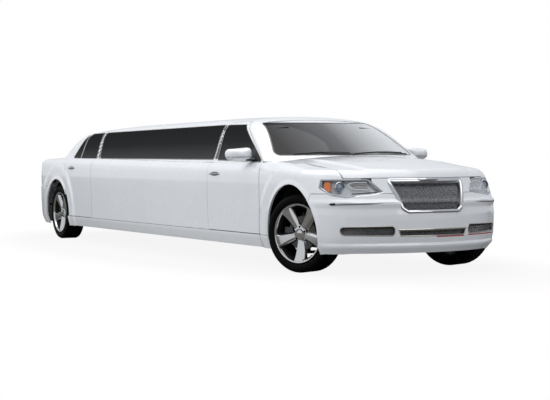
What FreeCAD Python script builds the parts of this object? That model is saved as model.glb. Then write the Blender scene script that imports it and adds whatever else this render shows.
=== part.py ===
"""A white stretch limousine, built as an assembly of separate body, glass, cabin and running-gear pieces.

Frame: +X to the car's front, +Y to its left, +Z up, origin on the ground at mid-length. Millimetres.
"""
import FreeCAD, Part
import math
import os

V = FreeCAD.Vector
os.makedirs("parts", exist_ok=True)

# ---------------------------------------------------------------- driving dimensions
FRONT_OVERHANG = 880.0
WHEELBASE = 6608.0
REAR_OVERHANG = 1112.0
HALF_WIDTH = 951.0
ROOF_HEIGHT = 1470.0
SILL_BOTTOM = 195.0
BELT_FRONT = 985.0
BELT_REAR = 1060.0
GLASS_TOP = 1385.0
DOOR_BOTTOM = 320.0
WALL = 80.0
ROOF_WALL = 45.0
PANEL_SKIN = 35.0
GLASS = 8.0
DOOR_GAP = 6.0
DOOR_INNER = 640.0
ARCH_RADIUS = 440.0
ARCH_LIP = 30.0
LIP_OUT = 12.0
FRONT_TRACK = 1610.0
REAR_TRACK = 1620.0
TYRE_RADIUS = 352.0
TYRE_WIDTH = 245.0
RIM_RADIUS = 266.0
RIM_WIDTH = 232.0
SPOKES = 5
SPOKE_DOWN = -90.0
WHEEL_SIDES = 48
BORE_RADIUS = 30.0
BORE_CLEARANCE = 0.5
DISC_RADIUS = 153.0
DISC_THICKNESS = 28.0
STEERED = 22.7
KINGPIN_RADIUS = 12.0
FLOOR_BOTTOM = 205.0
FLOOR_THICKNESS = 30.0
TUNNEL_HALF = 150.0
TUNNEL_TOP = 420.0
SURROUND_PROUD = 8.0
HINGE_PIN = 3.0
HINGE_IN = 8.0
HINGE_GAP = 13.0
HINGE_HEIGHTS = (590.0, 760.0)
PIN_CLEARANCE = 0.3
LID_PIN = 3.0
LID_KNUCKLE = 10.0
LID_RELIEF = 8.0

SILL_TOP = DOOR_BOTTOM - DOOR_GAP
LENGTH = FRONT_OVERHANG + WHEELBASE + REAR_OVERHANG
NOSE = LENGTH / 2
TAIL = -LENGTH / 2
FRONT_AXLE = NOSE - FRONT_OVERHANG
REAR_AXLE = FRONT_AXLE - WHEELBASE
FAR = 3 * HALF_WIDTH

# Door edges along the car, measured from the axle that each door stands next to.
FRONT_DOOR_FRONT = FRONT_AXLE - 640
FRONT_DOOR_REAR = FRONT_AXLE - 1800
REAR_DOOR_FRONT = REAR_AXLE + 1308
HOOD_REAR = FRONT_AXLE - 440
HOOD_CORNER = FRONT_AXLE - 540
HOOD_HALF = 775.0
BUMPER_TOP = 712.0
BUMPER_REAR = FRONT_AXLE + 342
LID_FRONT = REAR_AXLE - 285
LID_CORNER = REAR_AXLE - 215
LID_HALF = 640.0
LID_BOTTOM = 700.0
FIREWALL = FRONT_AXLE - 590
KICK = REAR_AXLE + 370
KICK_PANEL = 25.0
BOOT_FLOOR = 420.0
PLATE_PITCH = 178.0
PLATE_Z = 860.0
PLATE_HOLE = 3.0
PLATE_DEPTH = 60.0
EXHAUST_Y = 500.0
EXHAUST_Z = 190.0
EXHAUST_RADIUS = 38.0


# ---------------------------------------------------------------- shape helpers
def place(plane, a, b, at):
    """A point from two in-plane coordinates: XY at a height, XZ at a y, YZ at an x."""
    if plane == "XY":
        return V(a, b, at)
    if plane == "XZ":
        return V(a, at, b)
    return V(at, a, b)


def grown(points, grow):
    """The corners of a polygon whose sides are moved out by grow; points are (a, b) or (a, b, radius)."""
    count = len(points)
    area = sum(points[i][0] * points[(i + 1) % count][1] - points[(i + 1) % count][0] * points[i][1]
               for i in range(count))
    side = 1.0 if area > 0 else -1.0
    lines = []
    for i in range(count):
        a, b = points[i], points[(i + 1) % count]
        length = math.hypot(b[0] - a[0], b[1] - a[1])
        normal = ((b[1] - a[1]) / length * side, -(b[0] - a[0]) / length * side)
        lines.append((a[0] + normal[0] * grow, a[1] + normal[1] * grow, b[0] - a[0], b[1] - a[1]))
    corners = []
    for i in range(count):
        ax, ay, adx, ady = lines[i - 1]
        bx, by, bdx, bdy = lines[i]
        cross = adx * bdy - ady * bdx
        t = ((bx - ax) * bdy - (by - ay) * bdx) / cross
        radius = points[i][2] if len(points[i]) > 2 else 0.0
        corners.append((ax + adx * t, ay + ady * t, radius))
    return corners


def outline(points, plane, at, grow=0.0):
    """A closed wire of lines, with an arc at each corner that has a radius."""
    corners = grown(points, grow)
    count = len(corners)
    runs = []
    for i in range(count):
        p, q, r = corners[i - 1], corners[i], corners[(i + 1) % count]
        back = math.hypot(p[0] - q[0], p[1] - q[1])
        ahead = math.hypot(r[0] - q[0], r[1] - q[1])
        u = ((p[0] - q[0]) / back, (p[1] - q[1]) / back)
        w = ((r[0] - q[0]) / ahead, (r[1] - q[1]) / ahead)
        half = math.acos(max(-1.0, min(1.0, u[0] * w[0] + u[1] * w[1]))) / 2
        cut = min(q[2] / math.tan(half), 0.45 * back, 0.45 * ahead) if q[2] else 0.0
        if cut:
            radius = cut * math.tan(half)
            middle = ((u[0] + w[0]), (u[1] + w[1]))
            size = math.hypot(*middle)
            reach = radius / math.sin(half) - radius
            runs.append(((q[0] + u[0] * cut, q[1] + u[1] * cut),
                         (q[0] + middle[0] / size * reach, q[1] + middle[1] / size * reach),
                         (q[0] + w[0] * cut, q[1] + w[1] * cut)))
        else:
            runs.append(((q[0], q[1]), None, (q[0], q[1])))
    edges = []
    for i in range(count):
        start, middle, end = runs[i]
        after = runs[(i + 1) % count][0]
        if middle:
            edges.append(Part.Arc(place(plane, *start, at), place(plane, *middle, at),
                                  place(plane, *end, at)).toShape())
        edges.append(Part.LineSegment(place(plane, *end, at), place(plane, *after, at)).toShape())
    return Part.Wire(edges)


def prism(points, plane, low, high, grow=0.0):
    """The outline above, pushed square to its plane from low to high."""
    return Part.Face(outline(points, plane, low, grow)).extrude(place(plane, 0, 0, high - low))


def box(x0, x1, y0, y1, z0, z1):
    """A block between two corners given in any order."""
    return Part.makeBox(abs(x1 - x0), abs(y1 - y0), abs(z1 - z0),
                        V(min(x0, x1), min(y0, y1), min(z0, z1)))


def mirrored(shape):
    """The same piece on the car's other side."""
    return shape.mirror(V(0, 0, 0), V(0, 1, 0))


def joined(shapes):
    """One fused solid."""
    result = shapes[0]
    for shape in shapes[1:]:
        result = result.fuse(shape)
    return result.removeSplitter()


def both(shape):
    """A piece and its mirror image, kept as two solids."""
    return Part.makeCompound([shape, mirrored(shape)])


def solids(shape, smallest=2000.0):
    """The solids of a result, less the slivers a cut can leave."""
    return Part.makeCompound([s for s in shape.Solids if s.Volume > smallest])


def arc_wire(rows):
    """A closed wire from rows of (start, middle or None); each run ends where the next one starts."""
    edges = []
    for i, (start, middle) in enumerate(rows):
        end = rows[(i + 1) % len(rows)][0]
        if middle is None:
            edges.append(Part.LineSegment(start, end).toShape())
        else:
            edges.append(Part.Arc(start, middle, end).toShape())
    return Part.Wire(edges)


def loft(wires):
    """A solid through wires of matching runs, with straight rulings between them."""
    return Part.makeLoft(wires, True, True)


# ---------------------------------------------------------------- the body's outer form
# level: name, height at front axle, height at rear axle, in from the half width, nose back, tail back
BODY_LEVELS = [
    ("under", 120, 120, 75, 90, 110),
    ("sill", SILL_BOTTOM, SILL_BOTTOM, 44, 40, 60),
    ("crease", 300, 300, 14, 4, 22),
    ("waist", 560, 560, 2, SURROUND_PROUD, 0),
    ("flank", 740, 760, 0, 92, 14),
    ("shoulder", 900, 1000, 8, 150, 34),
    ("top", 1050, 1150, 123, 215, 66),
]

# top station: name, from which end, along from it, height on the centreline, height at the half width
TOP_STATIONS = [
    ("tip", NOSE, 60, 885, 800),
    ("lip", NOSE, -165, 914, 862),
    ("hood", NOSE, -700, 990, 925),
    ("cowl", FRONT_AXLE, -480, 1048, 985),
    ("belt_front", FRONT_AXLE, -700, BELT_FRONT + 20, BELT_FRONT),
    ("belt_rear", REAR_AXLE, 350, BELT_REAR + 20, BELT_REAR),
    ("deck_front", REAR_AXLE, -240, BELT_REAR + 48, BELT_REAR - 5),
    ("deck_rear", TAIL, 90, BELT_REAR + 26, BELT_REAR - 25),
    ("tail", TAIL, -60, BELT_REAR, BELT_REAR - 60),
]


def body_outline(level, inset):
    """The body's plan outline on one level: an arc across nose and tail, an arc at each corner."""
    name, z_front, z_rear, width_in, nose_back, tail_back = level
    half = HALF_WIDTH - width_in - inset
    nose = NOSE - nose_back - inset
    tail = TAIL + tail_back + inset

    def point(x, y):
        share = (FRONT_AXLE - x) / WHEELBASE
        return V(x, y, z_front + (z_rear - z_front) * share)

    return arc_wire([
        (point(nose - 105, 0.58 * half), point(nose, 0)),
        (point(nose - 105, -0.58 * half), point(nose - 232, -0.84 * half)),
        (point(nose - 590, -half), None),
        (point(tail + 560, -half), point(tail + 190, -0.87 * half)),
        (point(tail + 70, -0.62 * half), point(tail, 0)),
        (point(tail + 70, 0.62 * half), point(tail + 190, 0.87 * half)),
        (point(tail + 560, half), None),
        (point(nose - 590, half), point(nose - 232, 0.84 * half)),
    ])


def under_top(drop):
    """Everything below the hood, belt and deck surface, less a drop."""
    wires = []
    for name, end, along, centre, side in TOP_STATIONS:
        x = end + along
        wires.append(arc_wire([
            (V(x, HALF_WIDTH, side - drop), V(x, 0, centre - drop)),
            (V(x, -HALF_WIDTH, side - drop), None),
            (V(x, -HALF_WIDTH, 0), None),
            (V(x, HALF_WIDTH, 0), None),
        ]))
    return loft(wires)


def lower_body(inset, drop):
    """The body below the belt, hood and deck."""
    return loft([body_outline(level, inset) for level in BODY_LEVELS]).common(under_top(drop))


# cabin level: height, screen centre, screen corner x, y, side start, side y, side end, rear corner x, y,
# rear centre; x from the front axle for the first half and from the rear axle for the second
CABIN_BASE = (1030, -470, -620, 790, -780, 862, 290, -190, 745, -265)
CABIN_TOP = (GLASS_TOP, -1170, -1260, 615, -1400, 700, 690, 350, 590, 255)
CABIN_CAP = (ROOF_HEIGHT + 40, -1700, -1820, 440, -1900, 500, 1150, 830, 420, 760)


def between(low, high, z):
    """A cabin level at height z on the straight line through two others."""
    share = (z - low[0]) / (high[0] - low[0])
    return tuple(a + (b - a) * share for a, b in zip(low, high))


def cabin_outline(level, inset):
    """The cabin's plan outline on one level."""
    z, screen, corner_x, corner_y, side_x, side_y, back_side, back_x, back_y, back = level
    front = FRONT_AXLE
    rear = REAR_AXLE
    sink = inset

    def corner(x0, y0, x1, y1):
        dx, dy = x1 - x0, y1 - y0
        return V((x0 + x1) / 2 + abs(dy) * 0.10 * (1 if x0 > 0 else -1),
                 (y0 + y1) / 2 + abs(dx) * 0.10 * (1 if y0 > 0 else -1), z)

    fx, fy = front + corner_x - sink, corner_y - sink
    sx, sy = front + side_x - sink * 0.4, side_y - sink
    bx, by = rear + back_x + sink, back_y - sink
    tx = rear + back_side + sink * 0.4
    return arc_wire([
        (V(fx, fy, z), V(front + screen - sink, 0, z)),
        (V(fx, -fy, z), corner(fx, -fy, sx, -sy)),
        (V(sx, -sy, z), None),
        (V(tx, -sy, z), corner(bx, -by, tx, -sy)),
        (V(bx, -by, z), V(rear + back + sink, 0, z)),
        (V(bx, by, z), corner(bx, by, tx, sy)),
        (V(tx, sy, z), None),
        (V(sx, sy, z), corner(fx, fy, sx, sy)),
    ])


def cabin(inset):
    """The cabin above the belt: raked glass planes below, a rolled and crowned roof above."""
    lower = loft([cabin_outline(between(CABIN_BASE, CABIN_TOP, 880), inset),
                  cabin_outline(CABIN_TOP, inset)])
    upper = loft([cabin_outline(CABIN_TOP, inset), cabin_outline(CABIN_CAP, inset)])
    top = ROOF_HEIGHT - inset
    crown = arc_wire([
        (V(NOSE, HALF_WIDTH, top - 105), V(NOSE, 0, top)),
        (V(NOSE, -HALF_WIDTH, top - 105), None),
        (V(NOSE, -HALF_WIDTH, 500), None),
        (V(NOSE, HALF_WIDTH, 500), None),
    ])
    fall = arc_wire([
        (V(FRONT_AXLE, -FAR, top - 105), V(FRONT_AXLE - 1250, -FAR, top - 34)),
        (V(FRONT_AXLE - 2500, -FAR, top), None),
        (V(REAR_AXLE + 1900, -FAR, top), V(REAR_AXLE + 450, -FAR, top - 36)),
        (V(REAR_AXLE - 500, -FAR, top - 120), None),
        (V(REAR_AXLE - 500, -FAR, 500), None),
        (V(FRONT_AXLE, -FAR, 500), None),
    ])
    whole = lower.fuse(upper)
    whole = whole.common(Part.Face(crown).extrude(V(-LENGTH, 0, 0)))
    return whole.common(Part.Face(fall).extrude(V(0, 2 * FAR, 0)))


# ---------------------------------------------------------------- zones that the panels are cut from
def wheel_cylinder(axle, radius, inner=430.0, outer=FAR, side=1):
    """A round bar along the axle, from inner to outer on one side."""
    return Part.makeCylinder(radius, outer - inner, V(axle, side * inner, TYRE_RADIUS), V(0, side, 0))


def wheel_wells(radius):
    """The four round wheel openings."""
    return joined([wheel_cylinder(axle, radius, side=side)
                   for axle in (FRONT_AXLE, REAR_AXLE) for side in (1, -1)])


# door corner: x, z, corner radius, how far the edge leans forward inwards, y that x is measured at
FRONT_DOOR = [
    (FRONT_DOOR_FRONT, DOOR_BOTTOM, 30, 0, 0),
    (FRONT_DOOR_FRONT, BELT_FRONT - 80, 60, 0, 0),
    (FRONT_DOOR_FRONT - 50, BELT_FRONT + 5, 30, 0, 0),
    (FRONT_AXLE - 1375, GLASS_TOP + 8, 60, 0, 0),
    (FRONT_DOOR_REAR - 30, GLASS_TOP + 14, 20, 0.26, 700),
    (FRONT_DOOR_REAR, BELT_FRONT + 25, 60, 0.16, 870),
    (FRONT_DOOR_REAR, DOOR_BOTTOM, 30, 0.12, HALF_WIDTH),
]
REAR_DOOR = [
    (REAR_DOOR_FRONT, DOOR_BOTTOM, 30, 0, 0),
    (REAR_DOOR_FRONT, BELT_REAR - 15, 60, 0, 0),
    (REAR_DOOR_FRONT - 105, GLASS_TOP + 14, 20, 0, 0),
    (REAR_AXLE + 640, GLASS_TOP + 10, 90, 0.42, 700),
    (REAR_AXLE + 290, BELT_REAR + 2, 60, 0.36, 860),
    (REAR_AXLE + 330, 800, 30, 0.16, HALF_WIDTH),
    (REAR_AXLE + 430, DOOR_BOTTOM, 30, 0.12, HALF_WIDTH),
]


def door_zone(rows, grow, side):
    """The space of a door, its rear edges leaning so that it swings out past the panel behind it."""
    wires = []
    for y in (HALF_WIDTH + 150, DOOR_INNER - 2.5 * grow):
        points = [(x + lean * ((at or y) - y), z, radius) for x, z, radius, lean, at in rows]
        wires.append(outline(points, "XZ", side * y, grow))
    return loft(wires)


def rear_door_zone(grow, side):
    """The rear door's space, cut back round the wheel arch's lip."""
    start = ARCH_RADIUS + ARCH_LIP + DOOR_GAP - grow
    inner = 400.0
    outer = HALF_WIDTH + 150
    cone = Part.makeCone(start + 0.1 * (HALF_WIDTH - inner), start - 0.1 * (outer - HALF_WIDTH),
                         outer - inner, V(REAR_AXLE, side * inner, TYRE_RADIUS), V(0, side, 0))
    return door_zone(REAR_DOOR, grow, side).cut(cone)


def front_door_zone(grow, side):
    """The front door's space."""
    return door_zone(FRONT_DOOR, grow, side)


def hinge_slot(x, side):
    """The wider gap ahead of a door's front edge, where its skin turns past the panel before it."""
    return box(x - 20, x + HINGE_GAP, side * 400, side * FAR, DOOR_BOTTOM - DOOR_GAP, BELT_FRONT - 60)


def hinge_pins(x, side):
    """The fixed half of a door's two hinges: pins on straps from the panel ahead of the door."""
    y = side * (HALF_WIDTH - HINGE_IN)
    parts = []
    for z in HINGE_HEIGHTS:
        parts.append(Part.makeCylinder(HINGE_PIN, 80, V(x, y, z - 40)))
        parts.append(box(x, x + HINGE_GAP + 20, y - 3, y + 3, z - 14, z + 14))
    return parts


def hung(door, x, side):
    """The door with its hinge knuckles, bored for the pins and cleared round the straps."""
    y = side * (HALF_WIDTH - HINGE_IN)
    for z in HINGE_HEIGHTS:
        for low in (z - 40, z + 18):
            door = door.fuse(Part.makeCylinder(HINGE_PIN + 2, 22, V(x, y, low)))
        door = door.cut(Part.makeCylinder(HINGE_PIN + 6, 32, V(x, y, z - 16)))
        door = door.cut(Part.makeCylinder(HINGE_PIN + PIN_CLEARANCE, 82, V(x, y, z - 41)))
    return door


def lid_pins(hinge, half, side):
    """The fixed pin of a lid's hinge at one of its corners, standing in from the panel beside it."""
    x, z = hinge
    return Part.makeCylinder(LID_PIN, DOOR_GAP + 40, V(x, side * (half - 20), z), V(0, side, 0))


def hung_lid(lid, hinge, half, way):
    """A lid rounded about its hinge line behind the pins, with a bore for each pin; way is +1 for a front lid."""
    x, z = hinge
    behind = box(x - way * 60, x, -FAR, FAR, z - 200, z + 200)
    lid = lid.cut(behind.cut(Part.makeCylinder(LID_KNUCKLE, 2 * FAR, V(x, -FAR, z), V(0, 1, 0))))
    for side in (1, -1):
        lid = lid.cut(Part.makeCylinder(LID_PIN + PIN_CLEARANCE, 42, V(x, side * (half - 21), z), V(0, side, 0)))
    return lid


HOOD_LIP = 848.0
HOOD_PLAN = [(HOOD_CORNER, -HOOD_HALF), (NOSE + 100, -HOOD_HALF + 60), (NOSE + 100, HOOD_HALF - 60),
             (HOOD_CORNER, HOOD_HALF), (HOOD_CORNER + 60, HOOD_HALF - 125), (HOOD_REAR, 300, 200),
             (HOOD_REAR, -300, 200), (HOOD_CORNER + 60, -HOOD_HALF + 125)]
LID_PLAN = [(LID_CORNER, LID_HALF), (TAIL - 100, LID_HALF - 20), (TAIL - 100, -LID_HALF + 20),
            (LID_CORNER, -LID_HALF), (LID_CORNER - 45, -LID_HALF + 125), (LID_FRONT, -250, 200),
            (LID_FRONT, 250, 200), (LID_CORNER - 45, LID_HALF - 125)]
HOOD_HINGE = (HOOD_CORNER + 12, BELT_FRONT + 11)
LID_HINGE = (LID_CORNER - 12, BELT_REAR + 18)

# front view outlines: y, z, corner radius, for the car's left side
HEADLAMP = [(880, 836, 14), (540, 836, 20), (440, 722, 12), (520, 704, 20), (660, 690, 30), (745, 676, 20),
            (845, 694, 14), (905, 760, 20)]
TAIL_LAMP = [(880, 985, 20), (690, 985, 20), (670, 740, 20), (840, 740, 20)]
LOWER_GRILLE = [(382, 345, 12), (800, 352, 12), (812, 430, 12), (378, 436, 12)]
GRILLE = [(-402, HOOD_LIP - DOOR_GAP, 24), (402, HOOD_LIP - DOOR_GAP, 24), (318, 575, 20), (262, 540, 20),
          (-262, 540, 20), (-318, 575, 20)]
CENTRE_GRILLE = [(-330, 340, 10), (330, 340, 10), (350, 396, 10), (-350, 396, 10)]
SCREEN = [(-775, 1052, 30), (-605, GLASS_TOP - 2, 40), (605, GLASS_TOP - 2, 40), (775, 1052, 30)]
REAR_SCREEN = [(-690, 1115, 50), (-565, GLASS_TOP - 2, 50), (565, GLASS_TOP - 2, 50), (690, 1115, 50)]

# side view outlines of the side glass: x, z, corner radius
FRONT_GLASS = [(FRONT_AXLE - 712, BELT_FRONT + 12, 8), (FRONT_AXLE - 1385, GLASS_TOP - 20, 20),
               (FRONT_DOOR_REAR - 2, GLASS_TOP - 12, 12), (FRONT_DOOR_REAR + 75, BELT_FRONT + 34, 12)]
LONG_GLASS = [(FRONT_DOOR_REAR - 22, BELT_FRONT + 40, 12), (FRONT_DOOR_REAR - 62, GLASS_TOP - 10, 12),
              (REAR_DOOR_FRONT - 70, GLASS_TOP - 8, 12), (REAR_DOOR_FRONT + 70, BELT_REAR - 4, 12)]
REAR_GLASS = [(REAR_DOOR_FRONT - 55, BELT_REAR - 4, 12), (REAR_DOOR_FRONT - 142, GLASS_TOP - 8, 12),
              (REAR_AXLE + 672, GLASS_TOP - 10, 8), (REAR_AXLE + 672, BELT_REAR + 3, 8)]
QUARTER_GLASS = [(REAR_AXLE + 642, BELT_REAR + 3, 8), (REAR_AXLE + 642, GLASS_TOP - 14, 20),
                 (REAR_AXLE + 600, GLASS_TOP - 34, 40), (REAR_AXLE + 365, BELT_REAR + 9, 12)]


def flipped(points):
    """A front view outline on the other side."""
    return [(-p[0], *p[1:]) for p in points]


def side_prism(points, side, grow=0.0):
    """A side view outline pushed out through one side of the cabin."""
    return prism(points, "XZ", side * 400, side * FAR, grow)


def tunnel(half, top, front=FIREWALL, rear=KICK):
    """The arched space over the propeller shaft."""
    return prism([(-half, 0), (half, 0), (half, top, 60), (-half, top, 60)], "YZ", rear, front)


# ---------------------------------------------------------------- body
outer_low = lower_body(0, 0)
inner_low = lower_body(WALL, PANEL_SKIN)
outer_cabin = cabin(0)
inner_cabin = cabin(ROOF_WALL)
flares = wheel_wells(ARCH_RADIUS + ARCH_LIP).common(lower_body(-LIP_OUT, 0))
hollow = inner_low.fuse(inner_cabin).fuse(wheel_wells(ARCH_RADIUS))
shell = outer_low.fuse(outer_cabin).fuse(flares).cut(hollow)
shell = shell.common(box(TAIL - 100, NOSE + 100, -FAR, FAR, SILL_BOTTOM, ROOF_HEIGHT + 10))

front_door = shell.common(front_door_zone(0, 1))
rear_door = shell.common(rear_door_zone(0, 1))
apertures = joined([front_door_zone(DOOR_GAP, side).fuse(hinge_slot(FRONT_DOOR_FRONT, side)) for side in (1, -1)])
rear_apertures = joined([rear_door_zone(DOOR_GAP, side).fuse(hinge_slot(REAR_DOOR_FRONT, side))
                         for side in (1, -1)])
fixed = shell.cut(apertures).cut(rear_apertures)

hood_zone = prism(HOOD_PLAN, "XY", HOOD_LIP, ROOF_HEIGHT)
hood_space = prism(HOOD_PLAN, "XY", HOOD_LIP - DOOR_GAP, ROOF_HEIGHT, DOOR_GAP)
lid_zone = prism(LID_PLAN, "XY", LID_BOTTOM, ROOF_HEIGHT)
lid_space = prism(LID_PLAN, "XY", LID_BOTTOM - DOOR_GAP, ROOF_HEIGHT, DOOR_GAP)
lid_space = lid_space.fuse(prism(LID_PLAN, "XY", LID_HINGE[1] - 6, ROOF_HEIGHT, DOOR_GAP + LID_RELIEF))

pieces = {}
pieces["hood"] = solids(hung_lid(shell.common(hood_zone).common(outer_low), HOOD_HINGE, HOOD_HALF, 1))
boot_lid = hung_lid(shell.common(lid_zone).common(outer_low), LID_HINGE, LID_HALF, -1)
for side in (1, -1):
    boot_lid = boot_lid.cut(Part.makeCylinder(PLATE_HOLE, PLATE_DEPTH, V(TAIL, side * PLATE_PITCH / 2, PLATE_Z),
                                              V(1, 0, 0)))
pieces["boot_lid"] = solids(boot_lid)
fixed = fixed.cut(hood_space.common(outer_low)).cut(lid_space.common(outer_low))

front_end = box(NOSE - 700, NOSE + 100, -FAR, FAR, 0, 2000)
lamp_space = joined([prism(HEADLAMP, "YZ", FRONT_AXLE + 250, NOSE + 100),
                     prism(flipped(HEADLAMP), "YZ", FRONT_AXLE + 250, NOSE + 100)])
tail_lamp_space = joined([prism(TAIL_LAMP, "YZ", TAIL - 100, TAIL + 330),
                          prism(flipped(TAIL_LAMP), "YZ", TAIL - 100, TAIL + 330)])
grille_space = prism(GRILLE, "YZ", NOSE - 400, NOSE + 100)
pieces["headlamps"] = solids(fixed.common(lamp_space))
pieces["tail_lamps"] = solids(fixed.common(tail_lamp_space))
fixed = fixed.cut(lamp_space).cut(tail_lamp_space).cut(grille_space)

SURROUND = 34.0
proud = lower_body(-SURROUND_PROUD, 0)
ring = grille_space.cut(prism(GRILLE, "YZ", NOSE - 400, NOSE + 100, -SURROUND))
pieces["grille_surround"] = solids(proud.cut(lower_body(62, 0)).common(ring))
mesh_plate = lower_body(34, 0).cut(lower_body(44, 0))
meshes = [mesh_plate.common(prism(GRILLE, "YZ", NOSE - 400, NOSE + 100, -SURROUND))]

bumper_zone = box(BUMPER_REAR, NOSE + 100, -FAR, FAR, 0, BUMPER_TOP)
low_holes = [prism(LOWER_GRILLE, "YZ", NOSE - 500, NOSE + 100),
             prism(flipped(LOWER_GRILLE), "YZ", NOSE - 500, NOSE + 100),
             prism(CENTRE_GRILLE, "YZ", NOSE - 500, NOSE + 100)]
low_plate = lower_body(24, 0).cut(lower_body(34, 0))
meshes += [low_plate.common(hole) for hole in low_holes]
pieces["grille_mesh"] = solids(Part.makeCompound([s for m in meshes for s in m.Solids]))
bumper = fixed.common(bumper_zone)
for hole in low_holes:
    bumper = bumper.cut(hole)
pieces["front_bumper"] = solids(bumper)
fixed = fixed.cut(bumper_zone)
nose_zone = box(NOSE - 400, NOSE + 100, -520, 520, BUMPER_TOP, HOOD_LIP)
pieces["nose_panel"] = solids(fixed.common(nose_zone))
fixed = fixed.cut(nose_zone)

ROOF_SEAM = GLASS_TOP + 10
COWL_TOP = BELT_FRONT + 64
screen_space = prism(SCREEN, "YZ", FRONT_AXLE - 1500, FRONT_AXLE)
rear_screen_space = prism(REAR_SCREEN, "YZ", REAR_AXLE + 500, REAR_AXLE - 500)
glass_skin = outer_cabin.cut(cabin(GLASS)).cut(outer_low)
pieces["windscreen"] = solids(glass_skin.common(screen_space))
pieces["rear_window"] = solids(glass_skin.common(rear_screen_space))
fixed = fixed.cut(screen_space).cut(rear_screen_space)

fender_zone = box(FRONT_DOOR_FRONT - 200, NOSE + 100, -FAR, FAR, SILL_TOP, COWL_TOP)
front_part = fixed.common(fender_zone)
cowl_zone = box(FRONT_DOOR_FRONT - 200, HOOD_REAR, -HOOD_HALF + 20, HOOD_HALF - 20, 800, COWL_TOP)
PLENUM = 935.0
riser = [(HOOD_CORNER - 14, HOOD_HALF - 20), (HOOD_CORNER + 46, HOOD_HALF - 130), (HOOD_REAR - 14, 290),
         (HOOD_REAR - 14, -290), (HOOD_CORNER + 46, -HOOD_HALF + 130), (HOOD_CORNER - 14, -HOOD_HALF + 20),
         (HOOD_CORNER - 34, -HOOD_HALF + 20), (HOOD_CORNER + 26, -HOOD_HALF + 130), (HOOD_REAR - 34, -290),
         (HOOD_REAR - 34, 290), (HOOD_CORNER + 26, HOOD_HALF - 130), (HOOD_CORNER - 34, HOOD_HALF - 20)]
firewall = joined([box(FIREWALL, FIREWALL + 25, -FAR, FAR, FLOOR_BOTTOM, PLENUM + 20),
                   box(FIREWALL, HOOD_REAR - 14, -HOOD_HALF + 20, HOOD_HALF - 20, PLENUM, PLENUM + 20),
                   prism(riser, "XY", PLENUM, COWL_TOP)]).common(inner_low)
firewall = firewall.cut(wheel_wells(ARCH_RADIUS)).cut(tunnel(TUNNEL_HALF - 20, TUNNEL_TOP - 20, FIREWALL + 60))
cowl = joined([front_part.common(cowl_zone).common(outer_cabin), firewall])
fender_parts = [front_part.cut(cowl_zone)]
for side in (1, -1):
    fender_parts += hinge_pins(FRONT_DOOR_FRONT, side) + [lid_pins(HOOD_HINGE, HOOD_HALF, side)]
pieces["front_fenders"] = solids(joined(fender_parts))
pieces["cowl"] = cowl
fixed = fixed.cut(fender_zone)
sill_zone = box(REAR_AXLE, FRONT_AXLE, -FAR, FAR, 0, SILL_TOP)
pieces["sills"] = solids(fixed.common(sill_zone))
fixed = fixed.cut(sill_zone)
rear_bumper_zone = box(TAIL - 100, REAR_AXLE - 380, -FAR, FAR, 0, LID_BOTTOM - DOOR_GAP)
rear_bumper = fixed.common(rear_bumper_zone)
for side in (1, -1):
    rear_bumper = rear_bumper.cut(Part.makeCylinder(EXHAUST_RADIUS + 9, 600, V(TAIL - 50, side * EXHAUST_Y, EXHAUST_Z),
                                                    V(1, 0, 0)))
pieces["rear_bumper"] = solids(rear_bumper)
fixed = fixed.cut(rear_bumper_zone)
SIDE_FRONT = FRONT_DOOR_REAR + 300
SIDE_REAR = REAR_DOOR_FRONT - 300
panel_zone = box(SIDE_REAR, SIDE_FRONT, -FAR, FAR, SILL_TOP, ROOF_SEAM)
long_window = joined([side_prism(LONG_GLASS, 1), side_prism(LONG_GLASS, -1)])
panel_parts = [fixed.common(panel_zone).cut(long_window)]
for side in (1, -1):
    panel_parts += hinge_pins(REAR_DOOR_FRONT, side)
pieces["side_panels"] = solids(joined(panel_parts))
pieces["side_windows"] = solids(glass_skin.common(long_window))
rear_zone = box(TAIL - 100, SIDE_REAR, -FAR, FAR, SILL_TOP, ROOF_SEAM)
pieces["rear_quarters"] = solids(joined([fixed.common(rear_zone)] + [lid_pins(LID_HINGE, LID_HALF, side)
                                                                     for side in (1, -1)]))
pieces["roof"] = solids(fixed.cut(panel_zone).cut(rear_zone))


# ---------------------------------------------------------------- doors, their glass and mirrors
MIRROR_IN = 872.0
MIRROR_OUT = 1135.0
MIRROR_FOOT = 800.0


def handle(x0, x1, z, side):
    """A pull handle on two feet, standing off the door's skin."""
    bar = prism([(x0, z - 13, 10), (x1, z - 13, 10), (x1, z + 13, 10), (x0, z + 13, 10)], "XZ",
                side * (HALF_WIDTH + 8), side * (HALF_WIDTH + 24))
    feet = [box(x, x + 34, side * (HALF_WIDTH - 30), side * (HALF_WIDTH + 10), z - 10, z + 10)
            for x in (x0 + 12, x1 - 46)]
    return [bar] + feet


def mirror():
    """The left door mirror: a rounded head on a short arm from the window's front corner."""
    x = FRONT_DOOR_FRONT - 280
    head = prism([(MIRROR_IN, 1005, 34), (MIRROR_OUT, 1012, 50), (MIRROR_OUT + 6, 1100, 56), (MIRROR_IN, 1127, 46)],
                 "YZ", x - 60, x + 60)
    nose = Part.makeSphere(260, V(x - 175, (MIRROR_IN + MIRROR_OUT) / 2, 1060))
    head = head.common(nose)
    arm = prism([(x + 30, MIRROR_IN + 40), (x - 30, MIRROR_IN + 40), (x - 45, MIRROR_FOOT), (x + 60, MIRROR_FOOT)],
                "XY", 1002, 1030)
    shape = joined([head, arm]).cut(outer_low).cut(outer_cabin)
    return solids(shape).Solids[0]


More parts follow.
